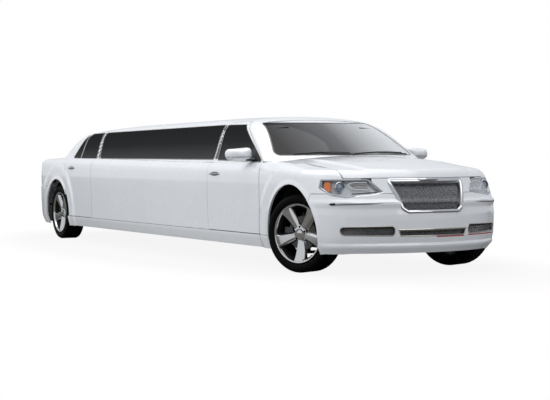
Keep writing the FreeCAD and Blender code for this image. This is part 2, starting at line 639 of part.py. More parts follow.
window = side_prism(FRONT_GLASS, 1)
panes = side_prism(REAR_GLASS, 1).fuse(side_prism(QUARTER_GLASS, 1))
front_skin = joined([front_door.cut(window)] + handle(FRONT_DOOR_REAR + 50, FRONT_DOOR_REAR + 300, 880, 1))
rear_skin = joined([rear_door.cut(panes)] + handle(REAR_AXLE + 440, REAR_AXLE + 690, 938, 1))
left_pieces = {
    "front_door_": hung(front_skin, FRONT_DOOR_FRONT, 1),
    "front_glass_": solids(glass_skin.common(window)),
    "mirror_": mirror(),
    "rear_door_": hung(rear_skin, REAR_DOOR_FRONT, 1),
    "rear_glass_": solids(glass_skin.common(panes)),
}
for name, shape in left_pieces.items():
    pieces[name + "L"] = shape
    pieces[name + "R"] = mirrored(shape)


# ---------------------------------------------------------------- floor and what it carries
SHELF = 1000.0
BULKHEAD = REAR_AXLE - 90
floor_top = FLOOR_BOTTOM + FLOOR_THICKNESS
floor_parts = [
    box(KICK - KICK_PANEL, FIREWALL, -FAR, FAR, FLOOR_BOTTOM, floor_top),
    box(KICK - KICK_PANEL, KICK, -FAR, FAR, FLOOR_BOTTOM, BOOT_FLOOR + 25),
    box(TAIL, KICK, -FAR, FAR, BOOT_FLOOR, BOOT_FLOOR + 25),
    box(BULKHEAD, BULKHEAD + 25, -FAR, FAR, BOOT_FLOOR, SHELF + 20),
    box(LID_FRONT + 30, BULKHEAD, -FAR, FAR, SHELF, SHELF + 20),
    tunnel(TUNNEL_HALF, TUNNEL_TOP),
]
floor = joined(floor_parts).cut(tunnel(TUNNEL_HALF - 20, TUNNEL_TOP - 20, rear=KICK - KICK_PANEL - 1))
floor = floor.common(inner_low).common(box(TAIL, NOSE, -FAR, FAR, FLOOR_BOTTOM, ROOF_HEIGHT))
floor = floor.cut(wheel_wells(ARCH_RADIUS))
pieces["floor_pan"] = solids(floor.common(box(BULKHEAD + 25, NOSE, -FAR, FAR, 0, ROOF_HEIGHT)))
pieces["rear_bulkhead"] = solids(floor.common(box(BULKHEAD, BULKHEAD + 25, -FAR, FAR, 0, ROOF_HEIGHT)))
pieces["boot_floor"] = solids(floor.common(box(TAIL, BULKHEAD, -FAR, FAR, 0, SHELF - 20)))
pieces["parcel_shelf"] = solids(floor.common(box(TAIL, BULKHEAD, -FAR, FAR, SHELF - 20, ROOF_HEIGHT)))

LINER = 8.0
liners = []
for axle in (FRONT_AXLE, REAR_AXLE):
    tub = wheel_cylinder(axle, ARCH_RADIUS, 430).cut(wheel_cylinder(axle, ARCH_RADIUS - LINER, 430 + LINER))
    tub = tub.cut(box(axle - 90, axle + 90, 0, 600, 0, TYRE_RADIUS + 230))
    tub = tub.common(inner_low).cut(box(axle - 600, axle + 600, 0, FAR, 0, SILL_TOP))
    liners += [tub, mirrored(tub)]
pieces["wheel_liners"] = Part.makeCompound([s for liner in liners for s in liner.Solids])

RAIL_BOTTOM = 300.0
rails = [box(FIREWALL + 25, NOSE, side * 335, side * 410, RAIL_BOTTOM, RAIL_BOTTOM + 80) for side in (1, -1)]
cross = box(FRONT_AXLE - 90, FRONT_AXLE + 90, -410, 410, RAIL_BOTTOM - 105, RAIL_BOTTOM)
KINGPIN_REACH = 160.0
ARM_THICK = 24.0
arms = []
for side in (1, -1):
    pivot = side * FRONT_TRACK / 2
    for z in (TYRE_RADIUS - KINGPIN_REACH - ARM_THICK, TYRE_RADIUS + KINGPIN_REACH):
        arm = box(FRONT_AXLE - 28, FRONT_AXLE + 28, side * 360, pivot, z, z + ARM_THICK)
        eye = Part.makeCylinder(28, ARM_THICK, V(FRONT_AXLE, pivot, z))
        hole = Part.makeCylinder(KINGPIN_RADIUS + BORE_CLEARANCE, ARM_THICK, V(FRONT_AXLE, pivot, z))
        arms.append(arm.fuse(eye).cut(hole))
    arms.append(box(FRONT_AXLE - 60, FRONT_AXLE + 60, side * 335, side * 400, RAIL_BOTTOM,
                    TYRE_RADIUS + KINGPIN_REACH + ARM_THICK))
    arms.append(box(FRONT_AXLE - 60, FRONT_AXLE + 60, side * 335, side * 400,
                    TYRE_RADIUS - KINGPIN_REACH - ARM_THICK, RAIL_BOTTOM))
pieces["front_subframe"] = joined(rails + [cross] + arms).common(inner_low)
pieces["engine"] = prism([(FRONT_AXLE - 420, RAIL_BOTTOM, 20), (FRONT_AXLE + 260, RAIL_BOTTOM, 20),
                          (FRONT_AXLE + 260, 820, 60), (FRONT_AXLE - 420, 860, 60)], "XZ", -280, 280)
pieces["radiator"] = box(FRONT_AXLE + 420, FRONT_AXLE + 470, -330, 330, RAIL_BOTTOM - 20, 760).fuse(
    box(FRONT_AXLE + 420, FRONT_AXLE + 470, -335, 335, RAIL_BOTTOM + 10, RAIL_BOTTOM + 60)).removeSplitter()

REAR_HUB = REAR_TRACK / 2
rear_parts = [box(REAR_AXLE - 90, REAR_AXLE + 90, -440, 440, 300, 400),
              box(REAR_AXLE - 60, REAR_AXLE + 60, -400, 400, 400, BOOT_FLOOR),
              box(REAR_AXLE - 130, REAR_AXLE + 130, -110, 110, 270, 400)]
for side in (1, -1):
    rear_parts.append(Part.makeCylinder(36, REAR_HUB - 428, V(REAR_AXLE, side * 420, TYRE_RADIUS), V(0, side, 0)))


# ---------------------------------------------------------------- wheels, built about an upright axis
def knuckle_form():
    """Upright, stub axle and brake caliper; local +Z points away from the car, +Y up."""
    upright = box(-38, 38, -KINGPIN_REACH + 2, KINGPIN_REACH - 2, -28, 14)
    stub = Part.makeCylinder(BORE_RADIUS, 104, V(0, 0, -20))
    caliper = box(-186, -96, -52, 52, 6, 62).cut(Part.makeCylinder(DISC_RADIUS + 5, DISC_THICKNESS + 10, V(0, 0, 15)))
    arm = box(-150, 0, -30, 30, -10, 10)
    return [upright, stub, caliper, arm]


def kingpins():
    """The steering pins above and below the upright."""
    reach = KINGPIN_REACH + ARM_THICK - 1
    return [Part.makeCylinder(KINGPIN_RADIUS, 2 * reach, V(0, -reach, 0), V(0, 1, 0))]


def rim_form():
    """Barrel, five broad spokes, hub and brake disc, turned about local Z."""
    half = RIM_WIDTH / 2
    r = RIM_RADIUS
    profile = [(r, half), (r, half - 10), (r - 16, half - 12), (r - 16, half - 32), (r - 32, half - 52),
               (r - 32, -half + 52), (r - 16, -half + 32), (r - 16, -half + 12), (r, -half + 10), (r, -half),
               (r - 10, -half), (r - 42, -half + 52), (r - 42, half - 52), (r - 10, half)]
    barrel = turned(profile, WHEEL_SIDES)
    spokes = []
    for i in range(SPOKES):
        flat = [(40, -30), (150, -34), (r - 37, -52), (r - 37, 52), (150, 34), (40, 30)]
        spoke = prism(flat, "XY", half - 42, half - 10)
        spoke.rotate(V(0, 0, 0), V(0, 0, 1), SPOKE_DOWN + i * 360 / SPOKES)
        spokes.append(spoke)
    hub = Part.makeCylinder(74, half - 36, V(0, 0, 20))
    disc = Part.makeCylinder(DISC_RADIUS, DISC_THICKNESS, V(0, 0, 20))
    wheel = joined([barrel, hub, disc] + spokes)
    wheel = wheel.cut(Part.makeCylinder(BORE_RADIUS + BORE_CLEARANCE, 90, V(0, 0, 0)))
    for i in range(SPOKES):
        turn = math.radians(SPOKE_DOWN + (i + 0.5) * 360 / SPOKES)
        wheel = wheel.cut(Part.makeCylinder(11, 20, V(52 * math.cos(turn), 52 * math.sin(turn), half - 26)))
    return wheel


def tyre_form():
    """A low tyre turned about local Z, seated on the rim's two bead seats."""
    half = TYRE_WIDTH / 2
    bead = RIM_RADIUS - 16
    seat = RIM_WIDTH / 2 - 12
    top = TYRE_RADIUS
    outside = [(bead, seat - 16), (bead, seat), (RIM_RADIUS + 3, seat + 1), (top - 62, half - 2), (top - 44, half),
               (top - 20, half - 5), (top - 6, half - 14), (top, half - 28)]
    inside = [(top - 16, half - 34), (top - 44, half - 14), (RIM_RADIUS + 4, seat - 10)]
    left = [(x, -z) for x, z in reversed(outside)]
    return turned(outside + left + [(x, -z) for x, z in reversed(inside)] + inside, WHEEL_SIDES)


def turned(profile, sides):
    """A ring of flat sides: a closed (radius, height) profile carried round the local Z axis."""
    faces = []
    for i in range(sides):
        a, b = (math.radians(-90 + (i + step) * 360 / sides) for step in (0, 1))
        for (r0, z0), (r1, z1) in zip(profile, profile[1:] + profile[:1]):
            corners = [V(r0 * math.cos(a), r0 * math.sin(a), z0), V(r0 * math.cos(b), r0 * math.sin(b), z0),
                       V(r1 * math.cos(b), r1 * math.sin(b), z1), V(r1 * math.cos(a), r1 * math.sin(a), z1)]
            faces.append(Part.Face(Part.makePolygon(corners + corners[:1])))
    solid = Part.Solid(Part.Shell(faces))
    return solid if solid.Volume > 0 else solid.reversed()


def at_wheel(shape, axle, track, side, steer):
    """A wheel-local form set on the car: local Z outboard, local Y up."""
    placed = shape.mirror(V(0, 0, 0), V(1, 0, 0)) if side > 0 else shape.copy()
    placed.Placement = FreeCAD.Placement(FreeCAD.Matrix(
        -side, 0, 0, 0, 0, 0, side, 0, 0, 1, 0, 0, 0, 0, 0, 1)).multiply(placed.Placement)
    placed.rotate(V(0, 0, 0), V(0, 0, 1), steer)
    placed.translate(V(axle, side * track / 2, TYRE_RADIUS))
    return placed


knuckle = joined(knuckle_form() + kingpins())
carrier_form = joined(knuckle_form())
rim = rim_form()
tyre = tyre_form()
for side, letter in ((1, "L"), (-1, "R")):
    pieces["knuckle_" + letter] = at_wheel(knuckle, FRONT_AXLE, FRONT_TRACK, side, STEERED)
    rear_parts.append(at_wheel(carrier_form, REAR_AXLE, REAR_TRACK, side, 0))
    for end, axle, track, steer in (("front", FRONT_AXLE, FRONT_TRACK, STEERED), ("rear", REAR_AXLE, REAR_TRACK, 0)):
        pieces["rim_" + end + "_" + letter] = at_wheel(rim, axle, track, side, steer)
        pieces["tyre_" + end + "_" + letter] = at_wheel(tyre, axle, track, side, steer)
pieces["rear_subframe"] = joined(rear_parts)

SHAFT_Z = 330.0
shaft_front = FRONT_AXLE - 420
pieces["propeller_shaft"] = Part.makeCylinder(36, shaft_front - REAR_AXLE - 130, V(REAR_AXLE + 130, 0, SHAFT_Z),
                                              V(1, 0, 0))

PIPE_Z = 180.0
PIPE = 25.0
pipes = []
for side in (1, -1):
    y = side * 230
    run = Part.makeCylinder(PIPE, FIREWALL - 200 - (REAR_AXLE + 700), V(REAR_AXLE + 700, y, PIPE_Z), V(1, 0, 0))
    box_front = box(REAR_AXLE + 450, REAR_AXLE + 720, y - 90, y + 90, 150, FLOOR_BOTTOM)
    hangers = [box(x - 20, x + 20, y - 15, y + 15, PIPE_Z, FLOOR_BOTTOM)
               for x in (FIREWALL - 260, FIREWALL - 1900, REAR_AXLE + 2200)]
    tail_box = box(TAIL + 270, REAR_AXLE - 560, side * 330, side * 580, 160, BOOT_FLOOR)
    tail_pipe = Part.makeCylinder(EXHAUST_RADIUS, 300, V(TAIL + 100, side * EXHAUST_Y, EXHAUST_Z), V(1, 0, 0))
    tail_pipe = tail_pipe.cut(Part.makeCylinder(EXHAUST_RADIUS - 4, 150, V(TAIL + 90, side * EXHAUST_Y, EXHAUST_Z),
                                                V(1, 0, 0)))
    pipes += [joined([run, box_front] + hangers), joined([tail_box, tail_pipe])]
pieces["exhaust"] = Part.makeCompound([s for pipe in pipes for s in pipe.Solids])


# ---------------------------------------------------------------- cabin
DASH_HALF = 765.0
room = inner_low.fuse(inner_cabin)
dash = prism([(FIREWALL, 690), (FIREWALL, 985, 30), (FIREWALL - 260, 990, 60), (FIREWALL - 400, 930, 40),
              (FIREWALL - 380, 700, 40)], "XZ", -DASH_HALF, DASH_HALF)
pieces["dashboard"] = dash.common(room)

WHEEL_Y = 380.0
WHEEL_X = FIREWALL - 545
WHEEL_Z = 870.0
ring_shape = turned([(196, 0), (189, 12), (175, 12), (168, 0), (175, -12), (189, -12)], 32)
spoke_bars = [box(-180, 180, -16, 16, -9, 9), box(-16, 16, -180, 0, -9, 9)]
column = Part.makeCylinder(26, 200, V(0, 0, -200))
boss = Part.makeCylinder(52, 40, V(0, 0, -20))
wheel = joined([ring_shape, boss, column] + spoke_bars)
wheel.rotate(V(0, 0, 0), V(0, 1, 0), -66)
wheel.translate(V(WHEEL_X, WHEEL_Y, WHEEL_Z))
pieces["steering_wheel"] = wheel.cut(dash)

seat_side = [(520, floor_top), (520, 455, 60), (500, 500, 60), (140, 460, 60), (40, 1130, 50), (-80, 1120, 50),
             (40, 400, 60), (60, floor_top)]
front_seat = prism([(FRONT_DOOR_REAR + 40 + p[0], *p[1:]) for p in seat_side], "XZ", TUNNEL_HALF + 40, 730)
pieces["front_seats"] = both(front_seat)

PARTITION = FRONT_DOOR_REAR - 190
wall = box(PARTITION, PARTITION + 30, -FAR, FAR, floor_top, ROOF_HEIGHT).common(room)
wall = wall.cut(tunnel(TUNNEL_HALF, TUNNEL_TOP)).cut(box(PARTITION - 10, PARTITION + 40, -480, 480, 980, 1290))
pieces["partition"] = wall

bench_end = PARTITION - 260
bench_side = [(340, floor_top), (340, 480, 40), (640, 450, 40), (730, 900, 40), (820, 900, 40), (820, floor_top)]
bench = prism([(p[0], *p[1:]) for p in bench_side], "YZ", REAR_DOOR_FRONT + 330, bench_end)
rear_bench_side = [(KICK + 130, floor_top), (KICK + 130, 480, 50), (KICK - 350, 450, 50), (BULKHEAD + 50, 980, 60),
                   (BULKHEAD + 25, 980, 10), (BULKHEAD + 25, BOOT_FLOOR + 25), (KICK, BOOT_FLOOR + 25),
                   (KICK, floor_top)]
rear_bench = prism(rear_bench_side, "XZ", -425, 425).cut(tunnel(TUNNEL_HALF, TUNNEL_TOP))
pieces["lounge_seats"] = Part.makeCompound([bench] + rear_bench.Solids)
bar_side = [(-820, floor_top), (-820, 860, 20), (-560, 860, 40), (-560, floor_top)]
pieces["bar_cabinet"] = prism(bar_side, "YZ", REAR_DOOR_FRONT + 700, bench_end)

for name, shape in pieces.items():
    shape.exportStep("parts/" + name + ".step")
    print(name, len(shape.Solids), round(shape.Volume / 1e6, 2))
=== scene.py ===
import bpy
import bmesh
import math
import numpy as np
from mathutils import Matrix, Vector


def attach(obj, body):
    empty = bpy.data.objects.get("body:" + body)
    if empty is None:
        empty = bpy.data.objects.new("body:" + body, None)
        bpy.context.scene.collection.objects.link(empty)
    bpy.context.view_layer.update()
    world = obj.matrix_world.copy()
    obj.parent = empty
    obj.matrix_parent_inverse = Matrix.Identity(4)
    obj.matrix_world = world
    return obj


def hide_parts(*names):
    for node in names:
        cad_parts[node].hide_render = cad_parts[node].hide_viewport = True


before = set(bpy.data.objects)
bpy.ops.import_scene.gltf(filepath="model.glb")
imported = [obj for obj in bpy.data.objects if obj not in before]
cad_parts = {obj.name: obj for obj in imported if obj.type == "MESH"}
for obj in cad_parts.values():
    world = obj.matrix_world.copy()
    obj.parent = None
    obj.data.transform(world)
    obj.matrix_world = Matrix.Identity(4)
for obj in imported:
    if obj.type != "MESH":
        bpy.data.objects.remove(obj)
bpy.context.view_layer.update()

# ---- the painted body's form
# A steel body pressed in large smooth panels: a lower body that is rounded in plan across nose and tail, and a
# cabin that leans in above it. Both are told by a few sections, and every panel is a part of one of these forms.
NOSE, TAIL, FRONT_AXLE, REAR_AXLE = 4.300, -4.300, 3.420, -3.188
WHEELBASE = FRONT_AXLE - REAR_AXLE
HALF = 0.951
WHEEL_Z = 0.352


def eased(keys, values, at):
    """Values that pass smoothly through keys without overshoot."""
    k, v = np.asarray(keys, float), np.asarray(values, float)
    step = np.diff(k)
    rise = np.diff(v) / step
    slope = np.zeros_like(v)
    same = rise[:-1] * rise[1:] > 0
    slope[1:-1][same] = (2 * rise[:-1] * rise[1:])[same] / (rise[:-1] + rise[1:])[same]
    slope[0], slope[-1] = rise[0], rise[-1]
    at = np.clip(at, k[0], k[-1])
    i = np.clip(np.searchsorted(k, at) - 1, 0, len(step) - 1)
    t = (at - k[i]) / step[i]
    return (v[i] * (1 + 2 * t) * (1 - t) ** 2 + slope[i] * step[i] * t * (1 - t) ** 2
            + v[i + 1] * t * t * (3 - 2 * t) - slope[i + 1] * step[i] * t * t * (1 - t))


def ramp(value):
    """0 below 0, 1 above 1, smooth between."""
    t = np.clip(value, 0, 1)
    return t * t * (3 - 2 * t)


# section heights at the front axle and at the rear axle
SECTION_FRONT = np.array([0.12, 0.195, 0.30, 0.56, 0.74, 0.90, 1.05])
SECTION_REAR = np.array([0.12, 0.195, 0.30, 0.56, 0.76, 1.00, 1.15])
# height, how far the side stands in from the half width
SIDE_IN = np.array([(0.12, 0.075), (0.195, 0.044), (0.262, 0.022), (0.30, 0.012), (0.42, 0.007), (0.56, 0.002),
                    (0.74, 0.0), (0.86, 0.002), (0.90, 0.008), (0.945, 0.036), (1.05, 0.123)])
# height, how far the nose stands back
NOSE_BACK = np.array([(0.12, 0.12), (0.195, 0.058), (0.225, 0.030), (0.25, 0.006), (0.264, 0.004), (0.285, 0.020),
                      (0.305, 0.014), (0.34, 0.006), (0.42, 0.002), (0.52, 0.004), (0.59, 0.012), (0.622, 0.004),
                      (0.640, 0.006), (0.662, 0.034), (0.70, 0.052), (0.78, 0.092), (0.84, 0.120), (0.90, 0.150),
                      (1.05, 0.215)])
# height, how far the tail stands forward
TAIL_IN = np.array([(0.12, 0.11), (0.195, 0.06), (0.30, 0.018), (0.45, 0.002), (0.56, 0.0), (0.66, 0.004),
                    (0.70, 0.022), (0.80, 0.024), (0.90, 0.034), (1.05, 0.066)])
# place along the car, top's height on the centreline and at the half width
TOP = np.array([(-4.36, 1.060, 1.000), (-4.21, 1.086, 1.035), (-3.428, 1.108, 1.055), (-2.838, 1.080, 1.060),
                (2.72, 1.005, 0.985), (2.94, 1.048, 0.985), (3.60, 0.990, 0.925), (4.135, 0.914, 0.862),
                (4.36, 0.885, 0.800)])
EDGE_ROUND = np.array([(-4.3, 0.05), (-3.6, 0.045), (-3.0, 0.02), (-2.6, 0.010), (2.6, 0.010), (3.0, 0.03),
                       (3.4, 0.05), (4.3, 0.045)])
# cabin height, half width, screen centre, screen run, its roundness, rear centre, rear run, its roundness
CABIN = np.array([(0.88, 0.9305, FRONT_AXLE - 0.174, 0.344, 2.68, REAR_AXLE - 0.485, 0.606, 11.0),
                  (1.03, 0.862, FRONT_AXLE - 0.470, 0.31, 2.77, REAR_AXLE - 0.265, 0.555, 9.4),
                  (1.385, 0.700, FRONT_AXLE - 1.170, 0.23, 2.98, REAR_AXLE + 0.255, 0.435, 5.0),
                  (1.51, 0.500, FRONT_AXLE - 1.700, 0.20, 2.90, REAR_AXLE + 0.760, 0.390, 4.5)])
ROOF_HEIGHT, ROOF_ROUND = 1.470, 0.075
# radii at which the sides' sheets turn over the top, and how far in they reach
BELT_LIP, ROOF_LIP, OVER_TOP = 0.045, 0.065, 0.26


def section_key(x, z):
    """The height at the front axle of the section line that passes through x, z."""
    share = (FRONT_AXLE - x) / WHEELBASE
    key = np.array(z, float) + 0 * share
    for i in range(len(SECTION_FRONT) - 1):
        low = SECTION_FRONT[i] + share * (SECTION_REAR[i] - SECTION_FRONT[i])
        high = SECTION_FRONT[i + 1] + share * (SECTION_REAR[i + 1] - SECTION_FRONT[i + 1])
        run = SECTION_FRONT[i] + (z - low) / (high - low) * (SECTION_FRONT[i + 1] - SECTION_FRONT[i])
        key = np.where((z >= low) & ((z < high) | (i == len(SECTION_FRONT) - 2)), run, key)
    return key


def lower_plan(x, z):
    """The lower body's plan at a height: half width, then nose and tail, each with its run and roundness."""
    key = section_key(x, z)
    half = HALF - eased(SIDE_IN[:, 0], SIDE_IN[:, 1], key)
    nose = NOSE - eased(NOSE_BACK[:, 0], NOSE_BACK[:, 1], key)
    tail = TAIL + eased(TAIL_IN[:, 0], TAIL_IN[:, 1], key)
    return half, nose, 0.62, 2.215, tail, 0.58, 3.77


def cabin_plan(x, z):
    """The cabin's plan numbers at a height, the same all along the car."""
    return tuple(eased(CABIN[:, 0], CABIN[:, i], z) if i in (1, 2, 5) else np.interp(z, CABIN[:, 0], CABIN[:, i])
                 for i in range(1, 8))


def plan_gap(x, y, half, nose, nose_run, nose_round, tail, tail_run, tail_round):
    """How far a point is outside a plan outline with straight sides and rounded ends."""
    across = np.abs(y) / half
    ahead = np.clip((x - nose + nose_run) / nose_run, 0, None)
    behind = np.clip((tail + tail_run - x) / tail_run, 0, None)
    level = across ** 2 + ahead ** nose_round + behind ** tail_round
    steep_x = (nose_round * ahead ** (nose_round - 1) / nose_run + tail_round * behind ** (tail_round - 1) / tail_run)
    return (level - 1) / np.maximum(np.hypot(steep_x, 2 * across / half), 0.6)


def rounded_meet(a, b, radius):
    """The inside of two surfaces, with a rounded edge where they meet."""
    return np.minimum(np.maximum(a, b), -radius) + np.hypot(np.maximum(a + radius, 0), np.maximum(b + radius, 0))


def lower_top(x, y):
    """Height of the hood, belt and deck."""
    centre = eased(TOP[:, 0], TOP[:, 1], x)
    side = eased(TOP[:, 0], TOP[:, 2], x)
    spread = np.abs(y) / HALF
    along = ramp((x - 2.95) / 0.5) * ramp((4.25 - x) / 0.3)
    dome_edge = 0.50 + 0.10 * np.clip((3.9 - x) / 1.0, 0, 1)
    dome = 0.012 * along * ramp((dome_edge + 0.05 - np.abs(y)) / 0.07)
    return centre - (centre - side) * spread ** 2 + dome - 0.006 * along


def lower_gap(v):
    """How far points are outside the lower body."""
    x, y, z = v[:, 0], v[:, 1], v[:, 2]
    side = plan_gap(x, y, *lower_plan(x, z))
    for axle in (FRONT_AXLE, REAR_AXLE):
        reach = np.hypot(x - axle, (z - WHEEL_Z) * 1.0)
        flank = ramp((np.abs(y) - 0.6) / 0.2)
        side = side - flank * (0.013 * ramp((0.67 - reach) / 0.07) + 0.008 * ramp((0.485 - reach) / 0.03))
    top = (z - lower_top(x, y)) * 0.98
    return rounded_meet(side, top, eased(EDGE_ROUND[:, 0], EDGE_ROUND[:, 1], x))


def roof_top(x, y):
    """Height of the roof."""
    front = np.clip(x - (FRONT_AXLE - 2.5), 0, None) / 2.5
    rear = np.clip(REAR_AXLE + 1.9 - x, 0, None) / 2.4
    return ROOF_HEIGHT - 0.105 * (y / HALF) ** 2 - 0.105 * front ** 2 - 0.12 * rear ** 2


def cabin_gap(v):
    """How far points are outside the cabin."""
    x, y, z = v[:, 0], v[:, 1], v[:, 2]
    return rounded_meet(plan_gap(x, y, *cabin_plan(x, z)), z - roof_top(x, y), ROOF_ROUND)


def outward(form, v):
    """The unit directions square to a form's surface."""
    step = 0.0008
    slopes = np.stack([form(v + step * np.eye(3)[i]) - form(v - step * np.eye(3)[i]) for i in range(3)], 1)
    return slopes / np.maximum(np.linalg.norm(slopes, axis=1, keepdims=True), 1e-9)


def settled(form, v, rounds=9):
    """Points moved along the form's own slope until they lie on it."""
    for _ in range(rounds):
        gap = form(v)
        slope = np.stack([(form(v + step) - form(v - step)) / 0.001 for step in np.eye(3) * 0.0005], 1)
        size = np.maximum((slope ** 2).sum(1), 0.05)
        v = v - slope * (gap / size)[:, None]
    return v


def plan_points(numbers, a, kind):
    """Points on plan outlines: kind 0 across the nose and 2 across the tail, where a is an angle, 1 along the side."""
    half, nose, nose_run, nose_round, tail, tail_run, tail_round = numbers
    angle = np.abs(a)
    ahead = np.clip(np.cos(angle), 0, 1)
    x = np.where(kind == 0, nose - nose_run + nose_run * ahead ** (2 / nose_round),
                 np.where(kind == 2, tail + tail_run - tail_run * ahead ** (2 / tail_round),
                          (nose - nose_run) * (1 - angle) + (tail + tail_run) * angle))
    y = np.where(kind == 1, half, half * np.sin(angle)) * np.sign(a + 1e-12)
    return x, y


def grid_faces(rows, wide, other_way=False):
    """The triangles of a grid of points, row after row."""
    index = np.arange(rows * wide).reshape(rows, wide)
    p, q, r, s = index[:-1, :-1], index[:-1, 1:], index[1:, 1:], index[1:, :-1]
    pair = ([p, s, r], [p, r, q]) if other_way else ([p, q, r], [p, r, s])
    return np.concatenate([np.stack(corners_of, -1).reshape(-1, 3) for corners_of in pair])


def wrapped(form, plan, top, z_low, lip, rows, columns):
    """A sheet round a form: up its side, round its top edge and a way in over its top."""
    kind, a = columns
    side_rows, edge_rows, top_rows = rows
    grid = []
    x, y = plan_points(plan(np.zeros_like(a), np.full_like(a, 0.8 if z_low < 0.5 else 1.2)), a, kind)
    for _ in range(4):
        edge = top(x, y) - lip
        x, y = plan_points(plan(x, edge), a, kind)
    for i in range(side_rows):
        z = z_low + (edge - z_low) * i / side_rows
        px, py = plan_points(plan(x, z), a, kind)
        grid.append(np.stack([px, py, z], 1))
    ahead = np.stack([np.roll(x, -1) - np.roll(x, 1), np.roll(y, -1) - np.roll(y, 1)], 1)
    ahead[0], ahead[-1] = (x[1] - x[0], y[1] - y[0]), (x[-1] - x[-2], y[-1] - y[-2])
    ahead = ahead / np.linalg.norm(ahead, axis=1, keepdims=True)
    inward = np.stack([-ahead[:, 1], ahead[:, 0]], 1)
    inward = inward * np.sign(np.sum(inward * np.stack([-np.sign(x) * (kind != 1), -y * 4], 1), 1))[:, None]
    for i in range(edge_rows):
        turn = (i + 1) / edge_rows * math.pi / 2
        px = x + inward[:, 0] * lip * (1 - math.cos(turn))
        py = y + inward[:, 1] * lip * (1 - math.cos(turn))
        grid.append(np.stack([px, py, edge + lip * math.sin(turn)], 1))
    for i in range(top_rows):
        depth = lip + (OVER_TOP - lip) * (i + 1) / top_rows
        px, py = x + inward[:, 0] * depth, y + inward[:, 1] * depth
        grid.append(np.stack([px, py, top(px, py)], 1))
    grid = np.array(grid)
    return settled(form, grid.reshape(-1, 3)), grid_faces(*grid.shape[:2])


def spread(form, top, xs, ys):
    """A sheet over a form's top."""
    x, y = np.meshgrid(xs, ys, indexing="ij")
    v = np.stack([x, y, top(x, y)], -1).reshape(-1, 3)
    return settled(form, v, 2), grid_faces(*x.shape, other_way=True)


def kept(sheet, gap):
    """The part of a sheet where gap is negative, cut cleanly along its zero line."""
    v, t = sheet
    if not len(t):
        return sheet
    g = gap(v)
    g = np.where(np.abs(g) < 1e-7, 1e-7, g)
    inside = g < 0
    count = inside[t].sum(1)
    made, extra, total = [t[count == 3]], [v], len(v)
    pairs, jobs = [], []
    for lone_inside, number in ((True, 1), (False, 2)):
        cut = t[count == number]
        lone = (inside[cut] == lone_inside).argmax(1)
        row = np.arange(len(cut))
        a, b, c = (cut[row, (lone + i) % 3] for i in range(3))
        pairs += [np.stack([a, b], 1), np.stack([a, c], 1)]
        jobs.append((lone_inside, a, b, c))
    flat = np.sort(np.concatenate(pairs), axis=1)
    unique, where = np.unique(flat[:, 0] * total + flat[:, 1], return_inverse=True)
    a, b = unique // total, unique % total
    share = (g[a] / (g[a] - g[b]))[:, None]
    extra.append(v[a] + (v[b] - v[a]) * share)
    where = where.ravel() + total
    at = 0
    for lone_inside, a, b, c in jobs:
        ab, ac = where[at:at + len(a)], where[at + len(a):at + 2 * len(a)]
        at += 2 * len(a)
        if lone_inside:
            made.append(np.stack([a, ab, ac], 1))
        else:
            made += [np.stack([ab, b, c], 1), np.stack([ab, c, ac], 1)]
    v, t = np.concatenate(extra), np.concatenate(made)
    used, t = np.unique(t, return_inverse=True)
    return v[used], t.reshape(-1, 3)


def together(*sheets):
    """Several sheets as one."""
    vs, ts, at = [], [], 0
    for v, t in sheets:
        vs.append(v)
        ts.append(t + at)
        at += len(v)
    return np.concatenate(vs), np.concatenate(ts)


def cut(sheet, *gaps):
    """A sheet cut by several gaps in turn."""
    for gap in gaps:
        sheet = kept(sheet, gap)
    return sheet


def columns(nose_steps, side_steps, tail_steps):
    """Columns all the way round the car, from the tail's middle up its right side, over the nose and back."""
    nose = np.linspace(0, math.pi / 2, nose_steps)[:-1]
    side = np.concatenate([np.linspace(a, b, n)[:-1] for a, b, n in side_steps])
    tail = np.linspace(math.pi / 2, 0, tail_steps)
    kind = np.concatenate([np.zeros(len(nose)), np.ones(len(side)), np.full(len(tail), 2)])
    a = np.maximum(np.concatenate([nose, side, tail]), 1e-9)
    return np.concatenate([kind[:0:-1], kind]), np.concatenate([-a[:0:-1], np.r_[1e-9, a[1:]]])


ring = wrapped(lower_gap, lower_plan, lower_top, 0.195, BELT_LIP, (60, 6, 12),
               columns(80, ((0, 0.16, 80), (0.16, 0.80, 90), (0.80, 1.0, 90)), 60))
deck = spread(lower_gap, lower_top, np.linspace(-4.12, 4.12, 500), np.linspace(-0.72, 0.72, 91))


def on_form(form, points, axis=0, reach=1.4):
    """Points brought inwards along one axis from outside a form to its surface; the other two values stay."""
    v = np.array(points, float)
    way = -np.sign(v[:, axis])
    inside = math.copysign(1.0, form(np.array([[0.0, 0.0, 0.6 if form is lower_gap else 1.2]]))[0])
    near, far = np.zeros(len(v)), np.full(len(v), reach)
    found = np.zeros(len(v), bool)
    for step in np.linspace(0, reach, 141)[1:]:
        tried = v.copy()
        tried[:, axis] += way * step
        met = (form(tried) * inside > 0) & ~found
        far[met], found = step, found | met
        near[~found] = step
    for _ in range(22):
        middle_step = 0.5 * (near + far)
        tried = v.copy()
        tried[:, axis] += way * middle_step
        met = form(tried) * inside > 0
        far, near = np.where(met, middle_step, far), np.where(met, near, middle_step)
    v[:, axis] += way * far
    return v


def top_inset(v):
    """How far points are outside the line where the side's sheet ends on the top."""
    x, y = v[:, 0], v[:, 1]
    return plan_gap(x, y, *lower_plan(x, lower_top(x, y) - BELT_LIP)) + 0.20


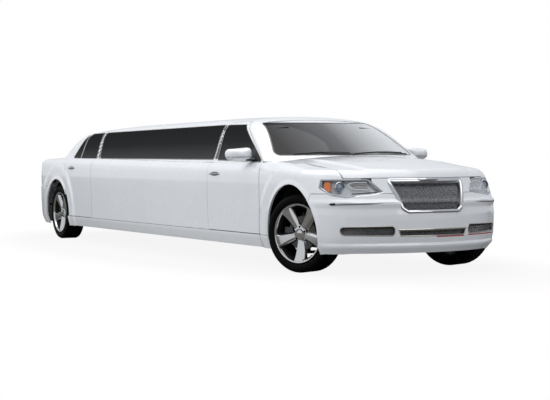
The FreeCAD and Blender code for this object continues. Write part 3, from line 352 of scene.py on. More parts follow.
ring = cut(ring, lambda v: np.where(v[:, 2] < 0.80, -1.0, -top_inset(v)))
deck = cut(deck, top_inset)
low_skin = together(ring, deck)
hull = wrapped(cabin_gap, cabin_plan, roof_top, 0.93, ROOF_LIP, (34, 8, 10),
               columns(60, ((0, 0.12, 30), (0.12, 0.86, 90), (0.86, 1.0, 30)), 50))
roof_sheet = spread(cabin_gap, roof_top, np.linspace(-2.90, 2.16, 240), np.linspace(-0.56, 0.56, 57))


def roof_inset(v):
    """How far points are outside the line where the cabin side's sheet ends on the roof."""
    x, y = v[:, 0], v[:, 1]
    return plan_gap(x, y, *cabin_plan(x, roof_top(x, y) - ROOF_LIP)) + 0.19


hull = cut(hull, lambda v: np.where(v[:, 2] < 1.30, -1.0, -roof_inset(v)))
roof_sheet = cut(roof_sheet, roof_inset)
# the roof's two front corners turn three ways at once, so each is a patch of its own, laid on from above
CORNER_X, CORNER_Y, CORNER_Z = 1.80, 0.40, 1.325
corner = lambda v: np.maximum.reduce([CORNER_X - v[:, 0], CORNER_Y - np.abs(v[:, 1]), CORNER_Z - v[:, 2]])
hull = cut(hull, lambda v: -corner(v))
corners = []
for sign in (1, -1):
    xs, ys = np.linspace(CORNER_X - 0.02, 2.34, 141), np.linspace(CORNER_Y - 0.02, 0.74, 121)
    grid = on_form(cabin_gap, [(x, sign * y, 1.62) for x in xs for y in ys], 2, 0.70)
    faces = grid_faces(len(xs), len(ys), other_way=True)
    patch = (grid, faces if sign > 0 else faces[:, ::-1])
    corners.append(cut(patch, corner, lambda v: -roof_inset(v)))
high_skin = together(hull, roof_sheet, *corners)

# ---- paint
# White car enamel, sprayed and clear-coated: a smooth solid colour under gloss, which gives soft wide reflections
# with the very slight waviness that sprayed paint keeps.


def linear(code):
    """A colour from its sRGB hex value."""
    parts = [int(code[i:i + 2], 16) / 255 for i in (1, 3, 5)]
    return tuple(c / 12.92 if c <= 0.04045 else ((c + 0.055) / 1.055) ** 2.4 for c in parts) + (1.0,)


def add_node(tree, kind, links=(), **settings):
    """A node with its settings; links are (input name or number, socket to read or value)."""
    node = tree.nodes.new(kind)
    for name, value in settings.items():
        setattr(node, name, value)
    for name, source in links:
        if isinstance(source, bpy.types.NodeSocket):
            tree.links.new(source, node.inputs[name])
        else:
            node.inputs[name].default_value = source
    return node


def new_material(name):
    """An empty node material with its shader, output and object coordinates."""
    made = bpy.data.materials.new(name)
    made.use_nodes = True
    tree = made.node_tree
    shader = tree.nodes["Principled BSDF"]
    place = tree.nodes.new("ShaderNodeTexCoord").outputs["Object"]
    return made, tree, shader, place


def finish_of(name, dark, light, scale, rough=(0.3, 0.4), bump=0.0, bump_scale=None, metallic=0.0, detail=4.0,
              stretch=None, sockets=()):
    """A surface whose colour and roughness wander between two values, with a fine relief."""
    made, tree, shader, place = new_material(name)
    if stretch:
        place = add_node(tree, "ShaderNodeMapping", [("Vector", place), ("Scale", stretch)]).outputs[0]
    noise = add_node(tree, "ShaderNodeTexNoise", [("Vector", place), ("Scale", scale), ("Detail", detail)])
    colour = add_node(tree, "ShaderNodeMix", [("Factor", noise.outputs["Fac"])], data_type="RGBA")
    colour.inputs["A"].default_value = linear(dark)
    colour.inputs["B"].default_value = linear(light)
    tree.links.new(colour.outputs["Result"], shader.inputs["Base Color"])
    sheen = add_node(tree, "ShaderNodeMapRange", [("Value", noise.outputs["Fac"]), ("To Min", rough[0]),
                                                  ("To Max", rough[1])])
    tree.links.new(sheen.outputs[0], shader.inputs["Roughness"])
    shader.inputs["Metallic"].default_value = metallic
    for socket, value in sockets:
        shader.inputs[socket].default_value = value
    if bump:
        fine = add_node(tree, "ShaderNodeTexNoise", [("Vector", place), ("Scale", bump_scale or scale * 6),
                                                     ("Detail", 2.0)])
        relief = add_node(tree, "ShaderNodeBump", [("Height", fine.outputs["Fac"]), ("Strength", 0.5),
                                                   ("Distance", bump)])
        tree.links.new(relief.outputs[0], shader.inputs["Normal"])
    return made


white_paint = finish_of("white_enamel", "#E6E9ED", "#ECEEF1", 1.4, rough=(0.24, 0.30), bump=0.00004, bump_scale=90,
                        sockets=[("Coat Weight", 0.9), ("Coat Roughness", 0.04), ("IOR", 1.45)])


# ---- nose: bumper cover, lamp panel, hood and fenders
# Pressed steel panels and a moulded plastic bumper cover with 5 mm shut lines between them. Each is cut from the forms
# above by the outlines that its neighbours keep clear of, and given its depth inwards. The hood turns on two hinges.
SHUT = 0.0025
SILL_TOP = 0.317
FRONT_DOOR = [(2.780, 0.320, 0.03), (2.780, 0.905, 0.06), (2.730, 0.990, 0.03), (2.045, 1.393, 0.06),
              (1.590, 1.399, 0.02), (1.620, 1.010, 0.06), (1.620, 0.320, 0.03)]
REAR_DOOR = [(-1.880, 0.320, 0.03), (-1.880, 1.045, 0.06), (-1.985, 1.399, 0.02), (-2.548, 1.395, 0.09),
             (-2.898, 1.062, 0.06), (-2.858, 0.800, 0.03), (-2.758, 0.320, 0.03)]
HOOD_PLAN = [(2.880, -0.775, 0), (4.40, -0.715, 0), (4.40, 0.715, 0), (2.880, 0.775, 0), (2.940, 0.650, 0),
             (2.980, 0.300, 0.2), (2.980, -0.300, 0.2), (2.940, -0.650, 0)]
LID_PLAN = [(-3.403, 0.640, 0), (-4.40, 0.620, 0), (-4.40, -0.620, 0), (-3.403, -0.640, 0), (-3.448, -0.515, 0),
            (-3.473, -0.250, 0.2), (-3.473, 0.250, 0.2), (-3.448, 0.515, 0)]
HEADLAMP = [(0.880, 0.836, 0.014), (0.540, 0.836, 0.04), (0.440, 0.722, 0.012), (0.520, 0.704, 0.02),
            (0.660, 0.690, 0.03), (0.745, 0.676, 0.02), (0.845, 0.694, 0.014), (0.905, 0.760, 0.02)]
TAIL_LAMP = [(0.880, 0.985, 0.02), (0.690, 0.985, 0.02), (0.670, 0.740, 0.02), (0.840, 0.740, 0.02)]
LOWER_GRILLE = [(0.382, 0.345, 0.03), (0.800, 0.352, 0.04), (0.812, 0.430, 0.03), (0.378, 0.436, 0.03)]
GRILLE = [(-0.402, 0.842, 0.035), (0.402, 0.842, 0.035), (0.318, 0.575, 0.03), (0.262, 0.540, 0.03),
          (-0.262, 0.540, 0.03), (-0.318, 0.575, 0.03)]
CENTRE_GRILLE = [(-0.330, 0.340, 0.02), (0.330, 0.340, 0.02), (0.350, 0.396, 0.012), (-0.350, 0.396, 0.012)]
SCREEN = [(-0.775, 1.052, 0.03), (-0.605, 1.383, 0.05), (0.605, 1.383, 0.05), (0.775, 1.052, 0.03)]
REAR_SCREEN = [(-0.690, 1.115, 0.05), (-0.565, 1.383, 0.05), (0.565, 1.383, 0.05), (0.690, 1.115, 0.05)]
FRONT_GLASS = [(2.708, 0.997, 0.008), (2.035, 1.365, 0.03), (1.618, 1.373, 0.012), (1.695, 1.019, 0.012)]
LONG_GLASS = [(1.598, 1.025, 0.012), (1.558, 1.375, 0.012), (-1.950, 1.377, 0.012), (-1.810, 1.056, 0.012)]
REAR_GLASS = [(-1.935, 1.056, 0.012), (-2.022, 1.377, 0.012), (-2.516, 1.375, 0.008), (-2.516, 1.063, 0.008)]
QUARTER_GLASS = [(-2.546, 1.063, 0.008), (-2.546, 1.371, 0.02), (-2.588, 1.351, 0.04), (-2.823, 1.069, 0.012)]
HOOD_LIP, BUMPER_TOP, LID_BOTTOM, BUMPER_REAR = 0.848, 0.712, 0.700, 3.762
HOOD_BACK, LID_FRONT, LID_TAPER = 2.898, -3.421, 0.10
ROOF_EDGE, QUARTER_FRONT, SCREEN_PILLAR = 1.395, -2.18, 1.92
ARCH_RADIUS, REAR_DOOR_ARCH = 0.44, 0.476
DOOR_SHUT, LID_SHUT = 0.005, 0.006
DEPTH, DOOR_DEPTH = 0.018, 0.055
SIDES = (("L", 1), ("R", -1))


def thick(form, sheet, depth, sunk=0.0, along=None):
    """A sheet made a closed panel of some depth, measured inwards from its outer face."""
    v, t = sheet
    n = outward(form, v)
    outer = v - n * sunk
    inner = outer + (along if along is not None else -n * depth)
    count = len(v)
    edges = np.concatenate([t[:, [0, 1]], t[:, [1, 2]], t[:, [2, 0]]])
    forward = edges[:, 0] * count + edges[:, 1]
    backward = edges[:, 1] * count + edges[:, 0]
    rim = edges[~np.isin(forward, backward)]
    walls = np.concatenate([np.stack([rim[:, 1], rim[:, 0], rim[:, 0] + count], 1),
                            np.stack([rim[:, 1], rim[:, 0] + count, rim[:, 1] + count], 1)])
    return np.concatenate([outer, inner]), np.concatenate([t, t[:, ::-1] + count, walls])


def rounded(points, grow=0.0):
    """A closed outline of corners (a, b, radius), as close points, with its corners rounded and its sides moved out."""
    count = len(points)
    area = sum(points[i][0] * points[(i + 1) % count][1] - points[(i + 1) % count][0] * points[i][1]
               for i in range(count))
    side = 1.0 if area > 0 else -1.0
    lines = []
    for i in range(count):
        (ax, ay), (bx, by) = points[i][:2], points[(i + 1) % count][:2]
        size = math.hypot(bx - ax, by - ay)
        lines.append((ax + (by - ay) / size * side * grow, ay - (bx - ax) / size * side * grow, bx - ax, by - ay))
    corners = []
    for i in range(count):
        ax, ay, adx, ady = lines[i - 1]
        bx, by, bdx, bdy = lines[i]
        t = ((bx - ax) * bdy - (by - ay) * bdx) / (adx * bdy - ady * bdx)
        corners.append((ax + adx * t, ay + ady * t))
    out = []
    for i in range(count):
        p, q, r = (np.array(corners[(i + k) % count]) for k in (-1, 0, 1))
        back, ahead = np.linalg.norm(p - q), np.linalg.norm(r - q)
        u, w = (p - q) / back, (r - q) / ahead
        half = math.acos(max(-1.0, min(1.0, float(u @ w)))) / 2
        radius = points[i][2] if len(points[i]) > 2 else 0.0
        cut = min(radius / math.tan(half), 0.45 * back, 0.45 * ahead) if radius else 0.0
        if not cut:
            out.append(q)
            continue
        radius = cut * math.tan(half)
        centre = q + (u + w) / np.linalg.norm(u + w) * radius / math.sin(half)
        start, end = q + u * cut - centre, q + w * cut - centre
        turn = math.atan2(start[0] * end[1] - start[1] * end[0], float(start @ end))
        for k in range(9):
            c, s = math.cos(turn * k / 8), math.sin(turn * k / 8)
            out.append(centre + np.array([start[0] * c - start[1] * s, start[0] * s + start[1] * c]))
    return np.array(out)


def beyond(points, axes, grow=0.0):
    """A gap that is negative inside an outline drawn on two axes and moved out by grow."""
    line = rounded(points) if len(points[0]) > 2 else np.array(points, float)

    def gap(v):
        p = np.stack([v[:, axes[0]], v[:, axes[1]]], 1)
        best = np.full(len(p), 1e9)
        inside = np.zeros(len(p), bool)
        for a, b in zip(line, np.roll(line, -1, 0)):
            run = b - a
            t = np.clip(((p - a) @ run) / (run @ run), 0, 1)
            best = np.minimum(best, np.sum((p - a - t[:, None] * run) ** 2, 1))
            cross = (a[1] > p[:, 1]) != (b[1] > p[:, 1])
            if a[1] != b[1]:
                inside ^= cross & (p[:, 0] < (b[0] - a[0]) * (p[:, 1] - a[1]) / (b[1] - a[1]) + a[0])
        return np.where(inside, -1, 1) * np.sqrt(best) - grow

    return gap


def outside(gap):
    """The other side of a gap."""
    return lambda v: -gap(v)


def within(*gaps):
    """Inside all of these gaps."""
    return lambda v: np.max([g(v) for g in gaps], 0)


def either(*gaps):
    """Inside any of these gaps."""
    return lambda v: np.min([g(v) for g in gaps], 0)


def above(axis, value):
    """Negative where a coordinate is above a value."""
    return lambda v: value - v[:, axis]


def below(axis, value):
    """Negative where a coordinate is below a value."""
    return lambda v: v[:, axis] - value


def wide(value):
    """Negative where a point is further from the centreline than a value."""
    return lambda v: value - np.abs(v[:, 1])


def on_side(sign, value=0.0):
    """Negative on one side of the car, further out than a value."""
    return above(1, value) if sign > 0 else below(1, -value)


def both_sides(gap):
    """A gap told for the car's left that holds on its right too."""
    return lambda v: gap(np.stack([v[:, 0], np.abs(v[:, 1]), v[:, 2]], 1))


def from_axle(axle, radius):
    """Negative outside a circle round an axle."""
    return lambda v: radius - np.hypot(v[:, 0] - axle, v[:, 2] - WHEEL_Z)


def from_hinge(x, radius=0.0125):
    """Negative outside a circle round an upright door hinge line."""
    return lambda v: radius - np.hypot(v[:, 0] - x, np.abs(v[:, 1]) - 0.943)


def made(name, sheet, material, sharp=32, turn_out=True):
    """A mesh object before it is set on a body; its faces are turned outwards unless they already are."""
    v, t = sheet
    mesh = bpy.data.meshes.new(name)
    mesh.from_pydata(np.asarray(v, float).tolist(), [], np.asarray(t).tolist())
    mesh.validate()
    if turn_out:
        work = bmesh.new()
        work.from_mesh(mesh)
        bmesh.ops.recalc_face_normals(work, faces=work.faces)
        work.to_mesh(mesh)
        work.free()
    mesh.shade_smooth()
    mesh.set_sharp_from_angle(angle=math.radians(sharp))
    mesh.materials.append(material)
    result = bpy.data.objects.new(name, mesh)
    bpy.context.scene.collection.objects.link(result)
    return result


def set_on(thing, body, replaces=()):
    """A piece that rides on a body and stands for some of its solids."""
    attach(thing, body)
    if replaces:
        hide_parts(*replaces)
    return thing


def piece(name, sheet, material, body, replaces=()):
    """A finished panel or pane on a body."""
    return set_on(made(name, sheet, material, turn_out=False), body, replaces)


flipped = lambda outline: [(-p[0], *p[1:]) for p in outline]
both_lamps = lambda outline, gap: within(both_sides(beyond(outline, (1, 2), gap)), above(0, 3.3))
nose = cut(low_skin, above(0, 2.5))
tail = cut(low_skin, below(0, -1.8))
middle = cut(low_skin, within(above(0, -2.95), below(0, 2.9)))
high_middle = cut(high_skin, wide(0.30))
front_arch, rear_arch = from_axle(FRONT_AXLE, ARCH_RADIUS), from_axle(REAR_AXLE, ARCH_RADIUS)
hood_inside = within(beyond(HOOD_PLAN, (0, 1), 0.0), above(2, HOOD_LIP))
hood_outside = outside(within(beyond(HOOD_PLAN, (0, 1), LID_SHUT), above(2, HOOD_LIP - LID_SHUT)))
front_part = cut(nose, above(0, 3.6), outside(both_lamps(HEADLAMP, 0.001)),
                 outside(within(beyond(GRILLE, (1, 2), -0.004), above(0, 3.9))))
bumper = cut(front_part, above(0, BUMPER_REAR + SHUT), below(2, BUMPER_TOP - SHUT), front_arch,
             outside(both_lamps(LOWER_GRILLE, 0.0)), outside(within(beyond(CENTRE_GRILLE, (1, 2)), above(0, 3.9))))
piece("front_bumper_cover", thick(lower_gap, bumper, DEPTH), white_paint, "body", ["front_bumper"])
panel = cut(front_part, above(2, BUMPER_TOP + SHUT), hood_outside, above(0, 3.9), outside(wide(0.52 - SHUT)))
piece("nose_cover", thick(lower_gap, panel, DEPTH), white_paint, "body", ["nose_panel"])
hood = cut(nose, hood_inside, above(2, HOOD_LIP), above(0, HOOD_BACK),
           lambda v: np.abs(v[:, 1]) - 0.757 - LID_TAPER * (v[:, 0] - HOOD_BACK))
piece("hood_skin", thick(lower_gap, hood, DEPTH), white_paint, "hood", ["hood"])
fender = cut(nose, hood_outside, front_arch, above(2, SILL_TOP), outside(beyond(FRONT_DOOR, (0, 2), DOOR_SHUT)),
             above(0, 2.6), from_hinge(FRONT_DOOR[0][0]), outside(both_lamps(HEADLAMP, 0.001)),
             outside(within(above(0, BUMPER_REAR - SHUT), below(2, BUMPER_TOP + SHUT))),
             outside(within(above(0, 3.9), outside(wide(0.52 + SHUT)))), wide(0.60))
fender_sides = [cut(fender, on_side(1)), cut(fender, outside(on_side(1)))]
piece("front_fender_panels", thick(lower_gap, together(*fender_sides), DEPTH), white_paint, "body",
      ["front_fenders"])

# ---- doors
# Steel doors in white enamel, each a deep lower half with a window frame above it, hung on two hinges at its front
# edge. The rear pair is cut away round the wheel arch.
door_lower = lambda outline: cut(middle, beyond(outline, (0, 2), -0.0005), wide(0.80))
front_door_low = door_lower(FRONT_DOOR)
rear_door_low = cut(door_lower(REAR_DOOR), from_axle(REAR_AXLE, REAR_DOOR_ARCH))
front_door_high = cut(high_middle, beyond(FRONT_DOOR, (0, 2), -0.0005), above(2, 0.97),
                      outside(beyond(FRONT_GLASS, (0, 2), 0.0)), above(0, 1.0))
rear_door_high = cut(high_middle, beyond(REAR_DOOR, (0, 2), -0.0005), above(2, 1.04),
                     outside(beyond(REAR_GLASS, (0, 2), 0.0)), outside(beyond(QUARTER_GLASS, (0, 2), 0.0)))
for letter, side in SIDES:
    inward_move = np.array([0.0, -side * DOOR_DEPTH, 0.0])
    for name, low, tall in (("front_door_", front_door_low, front_door_high),
                            ("rear_door_", rear_door_low, rear_door_high)):
        low_panel = thick(lower_gap, cut(low, on_side(side)), 0, along=inward_move)
        tall_panel = thick(cabin_gap, cut(tall, on_side(side)), 0.035)
        piece(name + "panel_" + letter, together(low_panel, tall_panel), white_paint, name + letter,
              [name + letter])

# ---- stretched side panels and sills
# Long sheets of formed steel, welded in between the front doors and the rear doors when the car is lengthened, over
# plain sills that run from arch to arch.
doors_out = outside(either(beyond(FRONT_DOOR, (0, 2), DOOR_SHUT), beyond(REAR_DOOR, (0, 2), DOOR_SHUT)))
side_low = cut(middle, doors_out, from_hinge(REAR_DOOR[0][0]), above(2, SILL_TOP), above(0, -2.2), below(0, 2.4),
               wide(0.80))
side_high = cut(high_middle, doors_out, above(2, 1.0), above(0, QUARTER_FRONT), below(0, SCREEN_PILLAR),
                below(2, ROOF_EDGE), outside(beyond(LONG_GLASS, (0, 2))))
piece("side_panel_skins", together(thick(lower_gap, side_low, DEPTH), thick(cabin_gap, side_high, 0.03)),
      white_paint, "body", ["side_panels"])
sill = cut(low_skin, below(2, SILL_TOP - 0.004), below(0, FRONT_AXLE), above(0, REAR_AXLE), front_arch, rear_arch)
piece("sill_skins", thick(lower_gap, sill, DEPTH), white_paint, "body", ["sills"])

# ---- boot lid, rear bumper cover, rear quarters and roof
# The welded quarters carry the tail lamps and the hinged lid between them; a moulded cover closes the tail below. The
# roof is one long sheet with the windscreen's pillars.
lid_inside = within(beyond(LID_PLAN, (0, 1)), above(2, LID_BOTTOM))
lid_outside = outside(within(beyond(LID_PLAN, (0, 1), LID_SHUT), above(2, LID_BOTTOM - LID_SHUT)))
tail_lamps_out = outside(within(both_sides(beyond(TAIL_LAMP, (1, 2), 0.001)), below(0, -3.9)))
screen_out = outside(within(beyond(SCREEN, (1, 2)), above(0, 1.5)))
rear_screen_out = outside(within(beyond(REAR_SCREEN, (1, 2)), below(0, -2.7)))
lid = cut(tail, lid_inside, below(0, LID_FRONT), lambda v: np.abs(v[:, 1]) - 0.620 + LID_TAPER * (v[:, 0] - LID_FRONT))
piece("boot_lid_skin", thick(lower_gap, lid, DEPTH), white_paint, "boot_lid", ["boot_lid"])
rear_cover = cut(tail, below(2, LID_BOTTOM - 0.008), below(0, REAR_AXLE - 0.38), rear_arch)
piece("rear_bumper_cover", thick(lower_gap, rear_cover, DEPTH), white_paint, "body", ["rear_bumper"])
quarter_low = cut(tail, lid_outside, tail_lamps_out, doors_out, rear_arch, above(2, SILL_TOP), below(0, QUARTER_FRONT),
                  outside(within(below(2, LID_BOTTOM - 0.003), below(0, REAR_AXLE - 0.377))),
                  either(wide(0.60), below(0, -3.4)))
quarter_high = cut(high_skin, doors_out, above(2, 1.0), below(0, QUARTER_FRONT), below(2, ROOF_EDGE), rear_screen_out)
piece("rear_quarter_skins", together(thick(lower_gap, quarter_low, DEPTH), thick(cabin_gap, quarter_high, 0.03)),
      white_paint, "body", ["rear_quarters"])
roof_part = cut(high_skin, either(above(2, ROOF_EDGE), above(0, SCREEN_PILLAR)), doors_out, above(2, 1.0), screen_out,
                rear_screen_out)
piece("roof_skin", thick(cabin_gap, roof_part, 0.02), white_paint, "body", ["roof"])

# ---- glass
# Float glass with dark window film on its inside: almost black, with a thin hard shine. Painted reflections make it
# paler along the lower edge and towards one side of the windscreen. The panes are bonded into the roof, the side
# panels and the door frames.
PANE, PANE_SUNK, PANE_IN = 0.006, 0.002, -0.002


def glass_with_painted_reflection(name, axis, low, high, shades):
    """Dark glass whose colour runs from one shade to another along an axis: a painted reflection over its own dark
    tint.
    """
    made, tree, shader, place = new_material(name)
    parts = add_node(tree, "ShaderNodeSeparateXYZ", [("Vector", place)])
    along = add_node(tree, "ShaderNodeMapRange", [("Value", parts.outputs[axis]), ("From Min", low),
                                                  ("From Max", high)])
    cloud = add_node(tree, "ShaderNodeTexNoise", [("Vector", place), ("Scale", 0.9), ("Detail", 1.0)])
    wander = add_node(tree, "ShaderNodeMath", [(0, cloud.outputs["Fac"]), (1, 0.08), (2, along.outputs[0])],
                      operation="MULTIPLY_ADD")
    ramp_node = add_node(tree, "ShaderNodeValToRGB", [("Fac", wander.outputs[0])])
    stops = ramp_node.color_ramp.elements
    for i, (at, code) in enumerate(shades):
        stop = stops[i] if i < 2 else stops.new(at)
        stop.position = at
        stop.color = linear(code)
    tree.links.new(ramp_node.outputs["Color"], shader.inputs["Base Color"])
    shader.inputs["Roughness"].default_value = 0.03
    shader.inputs["Specular IOR Level"].default_value = 0.0
    polish = add_node(tree, "ShaderNodeBsdfGlossy", [("Roughness", 0.03)])
    coated = add_node(tree, "ShaderNodeMixShader", [(0, 0.035), (1, shader.outputs[0]), (2, polish.outputs[0])])
    tree.links.new(coated.outputs[0], tree.nodes["Material Output"].inputs["Surface"])
    return made


# painted reflections: side and rear panes paler towards their lower edge, the windscreen paling to light grey towards
# the car's left
side_glass_with_painted_reflection = glass_with_painted_reflection("side_glass_painted_reflection", "Z", 1.02, 1.37, [(0.04, "#3C3C3E"), (0.55, "#131314"), (0.98, "#040404")])
screen_glass_with_painted_reflection = glass_with_painted_reflection("screen_glass_painted_reflection", "Y", -0.72, 0.72,
                      [(0.10, "#151515"), (0.52, "#6A6A6C"), (0.98, "#D6D8DA")])
rear_glass_with_painted_reflection = glass_with_painted_reflection("rear_glass_painted_reflection", "Z", 1.02, 1.40,
                         [(0.0, "#232325"), (0.5, "#0E0E0F"), (1.0, "#050505")])
pane_of = lambda sheet: thick(cabin_gap, sheet, PANE, sunk=PANE_SUNK)
windscreen = cut(high_skin, above(0, 1.5), beyond(SCREEN, (1, 2), PANE_IN))
piece("windscreen_pane", pane_of(windscreen), screen_glass_with_painted_reflection, "body", ["windscreen"])
rear_window = cut(high_skin, below(0, -2.5), beyond(REAR_SCREEN, (1, 2), PANE_IN))
piece("rear_window_pane", pane_of(rear_window), rear_glass_with_painted_reflection, "body", ["rear_window"])
side_pane = lambda outline, *gaps: cut(high_middle, beyond(outline, (0, 2), PANE_IN), *gaps)
piece("long_side_panes", pane_of(side_pane(LONG_GLASS)), side_glass_with_painted_reflection, "body", ["side_windows"])
for letter, side in SIDES:
    piece("front_door_pane_" + letter, pane_of(side_pane(FRONT_GLASS, on_side(side))), side_glass_with_painted_reflection,
          "front_door_" + letter, ["front_glass_" + letter])
    panes = together(side_pane(REAR_GLASS, on_side(side)), side_pane(QUARTER_GLASS, on_side(side)))
    piece("rear_door_panes_" + letter, pane_of(panes), side_glass_with_painted_reflection, "rear_door_" + letter,
          ["rear_glass_" + letter])

# ---- wheels and tyres
# Cast alloy wheels with five broad bevelled spokes and a polished face, bolted over drilled iron discs. Each carries
# a low tyre of black rubber whose tread is cut into blocks, seated on the rim's two bead seats.
RIM, TYRE, HALF_RIM, SPOKES, TREAD_PITCHES = 0.266, 0.352, 0.116, 5, 56
STEERED = math.radians(22.7)
WHEELS = [("front_L", FRONT_AXLE, 0.805, 1, STEERED), ("front_R", FRONT_AXLE, 0.805, -1, STEERED),
          ("rear_L", REAR_AXLE, 0.810, 1, 0.0), ("rear_R", REAR_AXLE, 0.810, -1, 0.0)]


def circle(count):
    """Angles evenly spaced once round."""
    return np.linspace(0, 2 * math.pi, count, endpoint=False)


def band(rings, closed=True):
    """A skin over a row of closed point rings: its ends are capped, or joined to each other when closed is both."""
    rings = np.asarray(rings, float)
    count, around = rings.shape[:2]
    index = np.arange(count * around).reshape(count, around)
    if closed == "both":
        index = np.vstack([index, index[:1]])
    p, q = index[:-1], np.roll(index[:-1], -1, 1)
    s, r = index[1:], np.roll(index[1:], -1, 1)
    faces = [np.stack([p, q, r], -1).reshape(-1, 3), np.stack([p, r, s], -1).reshape(-1, 3)]
    if closed is True:
        fan = np.arange(1, around - 1)
        faces.append(np.stack([np.zeros_like(fan), fan + 1, fan], 1))
        last = (count - 1) * around
        faces.append(np.stack([np.zeros_like(fan), fan, fan + 1], 1) + last)
    return rings.reshape(-1, 3), np.concatenate(faces)


def lathed(profile, sides=96):
    """A closed (radius, height) profile carried round the local Z axis."""
    turn = circle(sides)
    r, z = np.array(profile, float).T
    rings = np.stack([r[None] * np.cos(turn)[:, None], r[None] * np.sin(turn)[:, None], np.tile(z, (sides, 1))], -1)
    return band(rings, closed="both")


def shaft(radius, low, high, sides=32, edge=0.001):
    """A turned pin along local Z with softened edges."""
    turn = circle(sides)
    rows = [(radius - edge, low), (radius, low + edge), (radius, high - edge), (radius - edge, high)]
    return band([np.stack([r * np.cos(turn), r * np.sin(turn), np.full(sides, z)], 1) for r, z in rows])


def sheet_of(thing):
    """An object's points and triangles."""
    mesh = thing.data
    mesh.calc_loop_triangles()
    v = np.zeros(len(mesh.vertices) * 3)
    mesh.vertices.foreach_get("co", v)
    t = np.zeros(len(mesh.loop_triangles) * 3, int)
    mesh.loop_triangles.foreach_get("vertices", t)
    return v.reshape(-1, 3), t.reshape(-1, 3)


def repeated(name, sheet, material, count, turn=0.0, step=(0, 0, 0), start=(0, 0, 0)):
    """Copies of one form made by a node tree: each is turned about local Z and moved on by a step from the last."""
    thing = made(name, sheet, material)
    tree = bpy.data.node_groups.new(name + "_pattern", "GeometryNodeTree")
    face = tree.interface
    face.new_socket("Form", in_out="INPUT", socket_type="NodeSocketGeometry")
    sockets = {}
    for label, kind, value in (("Count", "NodeSocketInt", count), ("Turn Each", "NodeSocketFloat", turn),
                               ("Step Each", "NodeSocketVector", step), ("Start", "NodeSocketVector", start),
                               ("Finish", "NodeSocketMaterial", material)):
        sockets[label] = (face.new_socket(label, in_out="INPUT", socket_type=kind).identifier, value)
    face.new_socket("Pattern", in_out="OUTPUT", socket_type="NodeSocketGeometry")
    given = tree.nodes.new("NodeGroupInput")
    line = add_node(tree, "GeometryNodeMeshLine", [("Count", given.outputs["Count"]),
                                                   ("Offset", given.outputs["Step Each"]),
                                                   ("Start Location", given.outputs["Start"])])
    number = tree.nodes.new("GeometryNodeInputIndex")
    angle = add_node(tree, "ShaderNodeMath", [(0, number.outputs[0]), (1, given.outputs["Turn Each"])],
                     operation="MULTIPLY")
    spun = add_node(tree, "ShaderNodeCombineXYZ", [("Z", angle.outputs[0])])
    copies = add_node(tree, "GeometryNodeInstanceOnPoints", [("Points", line.outputs[0]),
                                                            ("Instance", given.outputs["Form"]),
                                                            ("Rotation", spun.outputs[0])])
    real = add_node(tree, "GeometryNodeRealizeInstances", [("Geometry", copies.outputs[0])])
    finish = add_node(tree, "GeometryNodeSetMaterial", [("Geometry", real.outputs[0]),
                                                        ("Material", given.outputs["Finish"])])
    out = tree.nodes.new("NodeGroupOutput")
    tree.links.new(finish.outputs[0], out.inputs[0])
    modifier = thing.modifiers.new("pattern", "NODES")
    modifier.node_group = tree
    for identifier, value in sockets.values():
        modifier[identifier] = value
    mesh = bpy.data.meshes.new_from_object(thing.evaluated_get(bpy.context.evaluated_depsgraph_get()))
    thing.modifiers.remove(modifier)
    thing.data = mesh
    made_sheet = sheet_of(thing)
    bpy.data.objects.remove(thing)
    return made_sheet


def spoke_form():
    """One broad spoke: a flat face between two sloping bevels, wider at the rim."""
    reach = np.array([0.036, 0.070, 0.110, 0.150, 0.190, 0.222, 0.243, 0.254])
    face = np.array([0.016, 0.019, 0.022, 0.026, 0.032, 0.040, 0.050, 0.058])
    bevel = np.array([0.020, 0.023, 0.026, 0.027, 0.025, 0.022, 0.018, 0.014])
    height = np.array([0.080, 0.084, 0.089, 0.094, 0.099, 0.103, 0.1055, 0.106])
    rings = []
    for r, w, b, z in zip(reach, face, bevel, height):
        back = z - 0.052
        half = [(w - 0.0015, z), (w + 0.0012, z - 0.0015), (w + b - 0.002, z - 0.0275), (w + b, z - 0.030),
                (w + b, back)]
        rings.append([(r, -a, h) for a, h in reversed(half)] + [(r, a, h) for a, h in half])
    return band(rings)


def disc_form():
    """A brake disc with rows of drilled holes, flat on both faces."""
    rings, around, outer, front, rear = 14, 145, 0.152, 0.0475, 0.0205
    r, turn = np.linspace(0.072, outer, rings), np.linspace(0, 2 * math.pi, around)
    grid = np.stack([r[:, None] * np.cos(turn), r[:, None] * np.sin(turn), np.full((rings, around), front)], -1)
    rows = ((0.092, 0.0), (0.112, 0.13), (0.134, 0.22))
    holes = [(radius * math.cos(i * math.pi / 8 + a), radius * math.sin(i * math.pi / 8 + a)) for i in range(16)
             for radius, a in rows]
    gap = lambda v: 0.0036 - np.min([np.hypot(v[:, 0] - a, v[:, 1] - b) for a, b in holes], 0)
    v, t = kept((grid.reshape(-1, 3), grid_faces(rings, around, other_way=True)), gap)
    back = v.copy()
    back[:, 2] = rear
    edge = lathed([(outer, front), (outer + 0.001, front - 0.0015), (outer + 0.001, rear + 0.0015), (outer, rear)])
    return together((v, t), (back, t[:, ::-1]), edge, shaft(0.074, 0.018, 0.060, 48))


def tread_form():
    """One pitch of the tread: five blocks across, each a little further round than the last."""
    sheets = []
    angle = 2 * math.pi / TREAD_PITCHES
    for i, (low, high) in enumerate(((0.070, 0.0945), (0.0245, 0.0625), (-0.0175, 0.0175), (-0.0625, -0.0245),
                                     (-0.0945, -0.070))):
        lean = 0.35 * angle * (i % 2)
        for a0, a1 in ((0.06, 0.50), (0.55, 0.94)) if abs(low + high) > 0.1 else ((0.06, 0.94),):
            rings = []
            for r, inset in ((TYRE - 0.0085, 0.0), (TYRE - 0.0008, 0.0), (TYRE, 0.0008)):
                block = [(lean + a0 * angle, low + inset), (lean + a1 * angle, low + inset),
                         (lean + a1 * angle, high - inset), (lean + a0 * angle, high - inset)]
                rings.append([(r * math.cos(a), r * math.sin(a), z) for a, z in block])
            sheets.append(band(rings))
    return together(*sheets)


